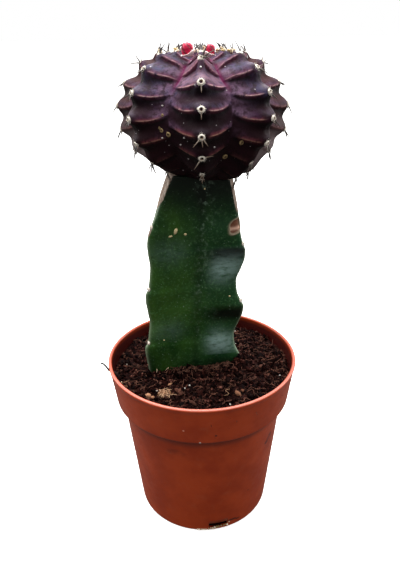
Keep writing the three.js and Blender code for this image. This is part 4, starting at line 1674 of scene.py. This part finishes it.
    def areole_places(self) -> list[Areole]:
        """Every areole. Low on the head only the front rib has them."""
        found = []
        for rib, (turn, phase) in enumerate(zip(self.rib_turns, self.rib_phases)):
            for count in range(1, self.areole_rows + 1):
                latitude = float(self.latitude_of(count - phase))
                if latitude < self.lowest_areole and rib > 0:
                    continue
                place, _ = self.skin(np.array(turn % 360), np.array(count - phase))
                out = self.direction(turn, latitude)
                down = self.direction(turn, latitude - 90)
                found.append(Areole(rib, count, latitude, place, out, down, np.cross(out, down)))
        return found

    def wool(self) -> Shell:
        """The wool cushions. Those low on the head have worn to a ring round a brown pit."""
        random = np.random.default_rng(8)
        reach, columns = cushion_reach(12), 20
        rim = np.cos(np.clip((reach - 0.55) / 0.45, 0, 1) * np.pi / 2) ** 0.7
        shells = []
        for spot in self.areole_places():
            worn = float(ramp(spot.count, 2, 4)) * (1.0 if spot.rib == 0 else 0.5)
            size = self.areole_radii[spot.count - 1] * random.uniform(0.93, 1.07)
            size = size * (1.0 if spot.rib == 0 else self.side_areoles)
            height = size * (0.85 * rim - 0.72 * worn * (1 - ramp(reach, 0.16, 0.62))) * np.ones(columns)
            height = height + random.uniform(-0.06, 0.06, height.shape) * size
            pit = worn * (1 - ramp(reach, 0.36, 0.6)) * np.ones(columns)
            shell = cushion(spot.place, spot.out, upwards(spot.out), size, height, 0.5, 1.5)
            shells.append(shell.shaded(pit=np.append(pit.ravel(), [0, worn])))
        return joined(shells)

    def wool_hairs(self) -> Shell:
        """Short loose hairs that stand out of each cushion's edge."""
        random = np.random.default_rng(9)
        t = np.linspace(0, 1, 4)[:, None]
        paths = []
        for spot in self.areole_places():
            size = self.areole_radii[spot.count - 1]
            for _ in range(self.hairs_per_areole):
                lean = random.normal(0, 1, 3)
                side = unit(lean - spot.out * np.dot(lean, spot.out))
                root = spot.place + side * random.uniform(0.6, 0.95) * size - spot.out * 0.2
                way = unit(spot.out * random.uniform(0.2, 1.4) + side)
                curl = np.cross(way, spot.out) * random.uniform(-0.5, 0.5)
                paths.append(root + (way * t + curl * t**2) * random.uniform(0.3, 0.75))
        radii = np.tile(np.linspace(0.06, 0.03, 4), (len(paths), 1))
        return tubes(np.array(paths), radii, 3).shaded(pit=0.0)

    def spine_aims(self, spot: Areole, random: Draws) -> list[Triple]:
        """Aim the spines of an areole.

        Those of the front rib are as counted on it. The others fan out downwards, and upwards over
        the crown, as the plain solid's do, with up to one finer spine beside them.

        Args:
            spot: The areole.
            random: The stream of draws for the finer spines.

        Returns:
            Each spine's turn from straight down, its lean and its length.
        """
        if spot.rib == 0 and spot.count in FRONT_SPINES:
            return FRONT_SPINES[spot.count]
        drift = 180 * float(ramp(spot.latitude, 20, 60))
        share = np.array([self.draws.next() for _ in range(9)]).reshape(3, 3)
        fans = (np.arange(3) - 1) * self.spine_fan + drift + 24 * (share[:, 0] - 0.5)
        leans = 48 + 20 * (share[:, 1] - 0.5)
        short = float(smooth_line(self.spine_latitudes, self.spine_shares, np.array(spot.latitude)))
        lengths = short * (self.shortest_spine + (self.longest_spine - self.shortest_spine) * share[:, 2])
        finer = random.uniform((-110, 35, 1.4), (110, 75, 2.6), (random.integers(0, 2), 3)) + (drift, 0, 0)
        return [*zip(fans, leans, lengths), *finer]

    def spines(self) -> Shell:
        """Curved spines on each areole, pale on the front rib and dark elsewhere."""
        random = np.random.default_rng(14)
        t = np.linspace(0, 1, 7)[:, None]
        front, main, fine = self.spine_radii
        paths, radii, ages = [], [], []
        for spot in self.areole_places():
            pale = spot.rib == 0 and spot.count > 3
            for number, (angle, lean, length) in enumerate(self.spine_aims(spot, random)):
                aim, tip = np.radians([angle, lean])
                flat = spot.down * np.cos(aim) + spot.side * np.sin(aim)
                way = spot.out * np.cos(tip) + flat * np.sin(tip)
                bend = (flat - spot.out * 0.4) * random.uniform(0.1, 0.4)
                root = spot.place - spot.out * 0.4
                paths.append(root + (way * t + bend * t**2) * (length + 0.7))
                dark_radius = main if number < 3 else fine
                radii.append((front if pale else dark_radius) * (1 - 0.65 * t[:, 0] ** 1.5))
                ages.append(0.0 if pale else random.uniform(0.6, 1.0))
        shell = tubes(np.array(paths), np.array(radii), 5)
        return shell.shaded(age=np.repeat(ages, len(shell.points) // len(paths)))

    def spot_on_skin(self, turn: float, latitude: float) -> tuple[Array, Array]:
        """The skin's point in a direction, and the direction."""
        rows = np.linspace(0, self.areole_rows, 400)
        row = rows[np.argmin(np.abs(self.latitude_of(rows) - latitude))]
        points, _ = self.skin(np.array(turn % 360), np.array(row))
        return points, self.direction(turn, latitude)

    def scars(self) -> Shell:
        """Corky ring scars on the flanks, as small worn cushions."""
        random = np.random.default_rng(4)
        reach, columns = cushion_reach(8), 14
        shells = []
        for turn, latitude, size in self.ring_scars:
            place, out = self.spot_on_skin(turn, latitude)
            height = size * (0.55 * hump(reach - 0.6, 0.35) + 0.1) * np.ones(columns)
            height = height + random.uniform(-0.05, 0.05, height.shape)
            tint = hump(reach - 0.75, 0.35) * np.ones(columns)
            shell = cushion(place, out, upwards(out), size, height, 0.1, 1.0)
            shells.append(shell.shaded(tint=np.append(tint.ravel(), [0.5, 0.0])))
        return joined(shells)

    def dust(self) -> Shell:
        """A few grains of pale grit that have stuck to the skin."""
        random = np.random.default_rng(6)
        spots = [self.spot_on_skin(turn, latitude) for turn, latitude in self.dust_grains]
        places = np.array([place + out * 0.1 for place, out in spots])
        return grains(places, np.full(places.shape, 0.36), random, 0.2)

    def tufts(self) -> Shell:
        """Loose tufts of old wool between the buds and the nearest areoles."""
        random = np.random.default_rng(19)
        places = np.repeat(np.array(self.crown_tufts), 4, axis=0)
        places = places + random.normal(0, 0.42, places.shape) * [1.3, 1.0, 0.6]
        return grains(places, random.uniform(0.3, 0.75, places.shape), random, 0.35)

    def build(self, skin: Material, wool: Material, horn: Material) -> None:
        """Make the head with its wool, spines and scars.

        Args:
            skin: The skin's material.
            wool: The areoles' material.
            horn: The spines' material.
        """
        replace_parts(make_piece("head_skin", self.skin_shell(), skin), "scion")
        pieces = {
            "areole_wool": (self.wool(), wool),
            "areole_hairs": (self.wool_hairs(), wool),
            "head_spines": (self.spines(), horn),
            "head_ring_scars": (self.scars(), RING_SCAR_CORK.material()),
            "head_stuck_grit": (self.dust(), STUCK_GRIT.material()),
            "crown_tufts": (self.tufts(), OLD_WOOL.material()),
        }
        for name, (shell, finish) in pieces.items():
            make_piece(name, shell, finish)


# The buds


@dataclass
class FlowerBud:
    """One unopened bud: pleated petals wound to a blunt point, in a pale collar of scales."""

    name: str
    place: Triple
    radius: float
    height: float
    petals: int
    collar_turn: float
    collar_rise: float
    collar_wall: float = 0.42
    sunk: float = 0.4
    columns: int = 60
    rows: int = 34

    def body(self) -> Shell:
        """The closed petals.

        The radius follows a round outline and is pleated: at each petal's edge the surface steps
        in, and the edges wind round the bud towards its tip.
        """
        share = np.linspace(0, 1, self.rows)[:, None]
        turn = all_round(self.columns)
        places = (0, 0.1, 0.3, 0.5, 0.75, 0.92, 1.0)
        outline = smooth_line(places, (0.7, 0.92, 1.0, 1.0, 0.86, 0.56, 0.08), share)
        phase = np.mod(self.petals * (turn / FULL_TURN + 0.3 * share), 1.0)
        pleat = 0.2 * (1 - phase) ** 1.5 * np.sin(np.pi * np.clip(share, 0, 0.95)) ** 0.4
        points = around(self.radius * outline * (1 - pleat), turn, self.height * share)
        foot = np.array(self.place)
        shell = lofted(points + foot, foot, foot + UP * self.height)
        # edge marks the folds, for painted shade
        edge = hump(np.minimum(phase, 1 - phase), 0.12)
        return shell.shaded(edge=np.append(edge.ravel(), [0.5, 0.5]))

    def collar(self) -> Shell:
        """The pale scales round the bud's foot: a thin cup whose edge rises to one side."""
        turn = all_round(self.columns)
        facing = 0.5 + 0.5 * np.cos(turn - np.radians(self.collar_turn))
        rim = self.height * (0.06 + self.collar_rise * facing**1.5 + 0.03 * np.sin(5 * turn))
        share = np.linspace(0, 1, 9)[:, None]
        outer = self.radius * (0.74 + 0.5 * np.sin(0.62 * np.pi * share * (0.35 + 0.65 * facing)))
        reach = np.concatenate([outer, outer[-1:] - 0.16, outer[::-1] - self.collar_wall])
        rise = np.concatenate([share * rim, rim[None] + 0.12, share[::-1] * rim])
        foot = np.array(self.place) - UP * self.sunk
        points = around(reach, turn, rise - self.sunk) + np.array(self.place)
        return lofted(points, foot - UP * 0.2, foot).shaded(edge=0.0)

    def build(self, petal: Material, scale: Material) -> None:
        """Make the bud with its collar, in the petals' and the scales' materials."""
        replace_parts(make_piece(f"{self.name}_petals", self.body(), petal), self.name)
        make_piece(f"{self.name}_scales", self.collar(), scale)


# The soil


@dataclass
class SoilBed:
    """The peat in the pot: its uneven bed, and the crumbs, fibres, bark and grit that lie on it."""

    pot: NurseryPot
    stem: Rootstock
    edge_height: float = 69.6
    mound: float = 2.4
    columns: int = 300
    rings: int = 150
    crumbs: int = 4600
    fibres: int = 560
    chips: int = 90
    loose_grit: int = 12
    grit_places: tuple[Pair, ...] = ((-7.5, -19.7), (11.3, -30.6))
    curl_place: Pair = (-16.2, -23.0)
    litter_line: tuple[Pair, Pair] = ((-11.0, -5.5), (13.0, -2.5))
    strand_places: tuple[Pair, ...] = ((-18.5, -5), (-15.5, -4.5), (-36, -12.5), (-34.5, -15), (10.5, -24))
    lump_places: tuple[Pair, ...] = ((-22.8, -23.6), (-21.2, -24.6), (-14.1, -16.2), (15, -25), (17, -23))
    lump_sizes: tuple[Triple, ...] = (
        *((1.9, 1.3, 1.2), (1.2, 1.0, 0.8), (1.9, 0.6, 0.4)),
        *((1.8, 1.3, 1.0), (1.2, 1.0, 0.8)),
    )
    twig_ends: tuple[Triple, Triple] = ((-44.8, -8.4, 78.0), (-36.6, -14.0, 74.6))

    def height_at(self, x: Array, y: Array) -> Array:
        """The soil's height: a mound at the stem, lumps, a heap behind it and a hollow before it."""
        share = np.clip(np.hypot(x, y) / 40, 0, 1)
        lumps = SeededNoise(2).layered(np.stack([x, y, np.zeros_like(x)], axis=-1), 9.0, 4, 0.72)
        hollow = hump(np.hypot((x + 4.0) * 0.6, (y + 10.5) * 1.9), 4.2)
        heap = 5.0 * hump(np.hypot(x - 18.5, y + 0.5), 5.5) + 1.5 * ramp(y, 4, 24)
        return self.edge_height + self.mound * (1 - share**2) + 2.2 * lumps - 4.5 * hollow + heap

    def on_soil(self, places: ArrayLike) -> Array:
        """Points on the soil's surface at places seen from above."""
        x, y = np.moveaxis(np.asarray(places, float), -1, 0)
        return np.stack([x, y, self.height_at(x, y)], axis=-1)

    def bed_shell(self) -> Shell:
        """The bed's surface, with its sides down inside the pot."""
        turn = all_round(self.columns)
        share = np.linspace(1.0, 0.004, self.rings)[:, None]
        flat = around((self.pot.inner_radius(self.edge_height) - 0.05) * share, turn, 0.0)
        top = self.on_soil(flat[..., :2])
        bottom = self.pot.floor + 0.1
        heights = np.array([[bottom, 20.0, 40.0, self.pot.body_top, self.pot.collar_foot, 66.5]]).T
        sides = around(self.pot.inner_radius(heights) - 0.25, turn, heights)
        shell = lofted(np.concatenate([sides, top]), UP * bottom, top[-1].mean(0))
        return shell.shaded(tint=0.5 + 0.3 * SeededNoise(6).layered(shell.points, 4.0, 3))

    def spots(self, count: int, random: Draws, margin: float = 0.4) -> Array:
        """Draw places on the open soil.

        Args:
            count: How many are wanted.
            random: The stream of draws.
            margin: How far they stay from the stem.

        Returns:
            Points on the soil's surface.
        """
        reach = float(self.pot.inner_radius(self.edge_height + 1)) - 0.7
        radius = reach * np.sqrt(random.uniform(0, 1, 2 * count))
        turn = random.uniform(0, FULL_TURN, 2 * count)
        x, y = radius * np.cos(turn), radius * np.sin(turn)
        level = self.stem.soil_height + 1
        middle = self.stem.axis(level)
        way = np.degrees(np.arctan2(y - middle[1], x - middle[0]))
        edge, _ = self.stem.surface(way, np.full(way.shape, level))
        stem_reach = np.linalg.norm((edge - middle)[:, :2], axis=-1)
        free = np.hypot(x - middle[0], y - middle[1]) > stem_reach + margin
        return self.on_soil(np.stack([x, y], axis=-1)[free][:count])

    def crumb_shell(self) -> Shell:
        """Thousands of small irregular crumbs, half sunk in the bed."""
        random = np.random.default_rng(40)
        places = self.spots(self.crumbs, random)
        size = 0.36 + 1.3 * random.beta(1.1, 4.0, len(places))
        sizes = size[:, None] * random.uniform(0.45, 1.4, (len(places), 3))
        places = places + UP * (size * random.uniform(-0.1, 0.9, len(places)))[:, None]
        shell = grains(places, sizes, random, 0.4)
        return shell.shaded(tint=shell.shades["tint"] ** 1.5)

    def curved_threads(self, places: Array, length: Pair, radius: Pair, lift: float, seed: int) -> Shell:
        """Thin curled threads that lie on the soil.

        Args:
            places: The middle of each thread.
            length: The shortest and the longest thread.
            radius: The thinnest and the thickest thread.
            lift: How steeply a thread may rise.
            seed: The seed of the draws.

        Returns:
            One shell of all the threads, with a draw for each as the attribute "tint".
        """
        random = np.random.default_rng(seed)
        count = len(places)
        t = np.linspace(-0.5, 0.5, 9)[None, :, None]
        turn = random.uniform(0, FULL_TURN, count)
        way = around(1.0, turn, random.uniform(-lift, lift, count))[:, None]
        side = np.cross(way, UP)
        size = random.uniform(*length, count)[:, None, None]
        bend = random.uniform(-1.6, 1.6, (count, 1, 1))
        wave = random.uniform(-0.25, 0.25, (count, 1, 1))
        path = way * t * size + side * size * (bend * t**2 + wave * np.sin(3 * np.pi * t))
        path = path + UP * size * random.uniform(0.0, 0.5, (count, 1, 1)) * (0.25 - t**2) + places[:, None]
        thick = random.uniform(*radius, count)[:, None] * (1 - 2.4 * t[0, :, 0] ** 2)
        shell = tubes(path, np.maximum(thick, 0.03), 4)
        tint = np.repeat(random.uniform(0, 1, count), len(shell.points) // count)
        return Shell(shell.points, shell.faces, {"tint": tint})

    def root_curl(self) -> Shell:
        """A pale tangle of dry root fibre near the front left of the bed."""
        random = np.random.default_rng(12)
        middle = self.on_soil(self.curl_place) + UP * 1.2
        places = middle + random.normal(0, 1, (44, 3)) * [1.15, 0.95, 0.5]
        return self.curved_threads(places, (2.2, 4.0), (0.14, 0.24), 0.5, 77)

    def loose_pieces(self) -> dict[str, tuple[Shell, DryMatter]]:
        """The larger pieces that lie at places of their own, with what each is made of."""
        random = np.random.default_rng(60)
        line = row_between(*self.litter_line, 90)
        line = line + random.normal(0, 1, line.shape) * [0.8, 1.1]
        litter = self.curved_threads(self.on_soil(line) + UP * 0.5, (2.5, 6.0), (0.12, 0.3), 0.2, 61)
        arcs = self.on_soil(self.strand_places) + UP * 0.8
        strands = self.curved_threads(arcs, (5.0, 8.0), (0.13, 0.2), 0.3, 62)
        chunks = self.on_soil(self.lump_places) + UP * 0.9
        lumps = grains(chunks, np.array(self.lump_sizes), random, 0.25)
        arch = UP * 0.6 * np.sin(3 * np.pi * np.linspace(0, 1, 12))[:, None]
        path = row_between(*self.twig_ends, 12) + arch
        twig = tubes(path[None], np.linspace(0.4, 0.6, 12)[None], 6)
        return {
            "stem_foot_litter": (litter, FOOT_LITTER),
            "root_strands": (strands, ROOT_STRAND),
            "bark_lumps": (lumps, BARK_LUMP),
            "rim_twig": (twig.shaded(tint=0.2), TWIG),
        }

    def build(self, peat: Material) -> None:
        """Make the bed and what lies on it.

        Args:
            peat: The peat's material.
        """
        random = np.random.default_rng(50)
        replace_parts(make_piece("soil_bed", self.bed_shell(), peat), "soil")
        make_piece("soil_crumbs", self.crumb_shell(), peat, smooth=False)
        places = self.spots(self.fibres, random) + UP * 0.6
        threads = self.curved_threads(places, (2.0, 6.5), (0.07, 0.19), 0.35, 51)
        make_piece("peat_fibres", threads, PEAT_FIBRE.material())
        places = self.spots(self.chips, random) + UP * 0.5
        sizes = random.uniform(0.5, 1.1, (len(places), 1)) * [1.8, 0.9, 0.5]
        chips = grains(places, sizes, random, 0.25)
        make_piece("bark_chips", chips, BARK_CHIP.material(), smooth=False)
        spots = [self.spots(self.loose_grit, random), self.on_soil(self.grit_places)]
        places = np.concatenate(spots) + UP * 0.9
        sizes = random.uniform(0.25, 0.45, (len(places), 1)) * np.ones(3)
        grit = grains(places, sizes, random, 0.25)
        make_piece("perlite_grit", grit, PERLITE_GRIT.material(), smooth=False)
        make_piece("dry_root_curl", self.root_curl(), DRY_ROOT.material())
        for name, (shell, matter) in self.loose_pieces().items():
            make_piece(name, shell, matter.material())


# The studio


@dataclass
class Studio:
    """A pale floor, a soft pale surrounding and the camera at the photograph's viewing angle."""

    eye: Triple = (-0.35, -214.5, 209.6)
    pitch: float = 24.55
    roll: float = -0.87
    focal_pixels: float = 545.0
    frame_height: float = 570.0
    sensor: float = 36.0
    light_aim: Triple = (0.0, 0.0, 0.11)
    floor_reach: float = 40.0
    floor_drop: float = 0.0002

    def camera(self) -> None:
        """Make the camera. Its focal length is the pixels' one scaled to the sensor's long side."""
        data = bpy.data.cameras.new("camera")
        data.sensor_width = self.sensor
        data.lens = self.sensor * self.focal_pixels / self.frame_height
        data.clip_start = 0.01
        camera = put("camera", data)
        camera.rotation_mode = "QUATERNION"
        tilt = Quaternion((1, 0, 0), np.radians(90 - self.pitch))
        camera.rotation_quaternion = tilt @ Quaternion((0, 0, 1), np.radians(self.roll))
        camera.location = tuple(METRES * value for value in self.eye)
        bpy.context.scene.camera = camera

    def softbox(self, name: str, place: Triple, size: Pair, power: float) -> None:
        """Hang a soft rectangular light that faces the plant.

        Args:
            name: The light's name.
            place: Its place in metres.
            size: Its two sides in metres.
            power: Its power in watts.
        """
        data = bpy.data.lights.new(name, "AREA")
        data.shape = "RECTANGLE"
        data.size, data.size_y = size
        data.energy = power
        light = put(name, data)
        light.location = place
        light.rotation_mode = "QUATERNION"
        light.rotation_quaternion = (Vector(self.light_aim) - Vector(place)).to_track_quat("-Z", "Y")

    def surroundings(self) -> None:
        """Light from all round: bright above, paler at the sides, dim in front and below."""
        world = bpy.data.worlds.new("surroundings")
        bpy.context.scene.world = world
        world.use_nodes = True
        tree = world.node_tree
        tree.nodes.clear()
        way = add_node(tree, "TexCoord", out="Generated")
        rise = add_node(tree, "SeparateXYZ", {0: way}, out="Z")
        depth = add_node(tree, "SeparateXYZ", {0: way}, out="Y")
        height = add_node(tree, "MapRange", {"Value": rise, "From Min": -1.0})
        stops = [(0.0, "#272727"), (0.48, "#3f3f3f"), (0.56, "#cbcbcb"), (0.75, "#e1e1e1"), (1.0, "#ffffff")]
        glow = add_node(tree, "ValToRGB", {"Fac": height}, stops=stops)
        span = {"Value": depth, "From Min": -0.9, "From Max": 0.7, "To Min": 1.0, "To Max": 1.9}
        behind = add_node(tree, "MapRange", span)
        light = add_node(tree, "Background", {"Color": glow, "Strength": behind})
        seen = add_node(tree, "Background", {"Color": "#ffffff", "Strength": 1.0})
        look = add_node(tree, "LightPath", out="Is Camera Ray")
        both = add_node(tree, "MixShader", {0: look, 1: light, 2: seen})
        add_node(tree, "OutputWorld", {0: both})

    def floor(self) -> None:
        """Lay a plain pale floor under the pot, which throws little light back on the plant."""
        mesh = bpy.data.meshes.new("floor")
        reach = self.floor_reach
        corners = [(-reach, -reach, 0), (reach, -reach, 0), (reach, reach, 0), (-reach, reach, 0)]
        mesh.from_pydata(corners, [], [(0, 1, 2, 3)])
        finish = Finish("pale_floor", {})
        look = finish.add("LightPath", out="Is Camera Ray")
        colour = finish.add("Mix", {0: look, 6: "#3c3a38", 7: "#f7f6f4"}, out=2, data_type="RGBA")
        inputs = {
            "Base Color": colour,
            "Roughness": 0.9,
            "Emission Color": colour,
            "Emission Strength": 0.62,
            "Specular IOR Level": 0.1,
        }
        mesh.materials.append(finish.finished(inputs))
        floor = put("floor", mesh)
        floor.location = (0, 0, -self.floor_drop)

    def build(self) -> None:
        """Make the whole studio."""
        self.camera()
        self.surroundings()
        self.floor()
        self.softbox("top_light", (-0.1, 0.12, 1.0), (0.9, 0.9), 20.0)
        self.softbox("left_light", (-0.9, 0.45, 0.3), (0.5, 0.8), 3.9)
        self.softbox("right_light", (0.9, 0.4, 0.35), (0.5, 0.8), 4.4)
        bpy.context.scene.view_settings.view_transform = "Standard"


def main() -> None:
    """Load the frame, build the studio and each part of the plant."""
    logging.basicConfig(level=logging.INFO, format="%(name)s: %(message)s")
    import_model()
    Studio().build()

    wool = Felt().material()
    horn = Horn().material()
    pot = NurseryPot()
    pot.build(MouldedPolypropylene().material())
    stem = Rootstock()
    stem.build(WaxyStemSkin().material(), wool, horn)
    CactusHead().build(CactusEpidermis().material(), wool, horn)
    crimson = CRIMSON_PETAL.material()
    pale = PALE_SCALE.material()
    FlowerBud("bud_left", (-3.5, -13.6, 203.7), 2.1, 4.1, 4, 15.0, 0.6).build(crimson, pale)
    FlowerBud("bud_right", (4.3, -13.2, 203.7), 1.8, 3.5, 3, 195.0, 0.4).build(crimson, pale)
    SoilBed(pot, stem).build(MoistPeat().material())

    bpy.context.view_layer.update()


if __name__ == "__main__":
    main()
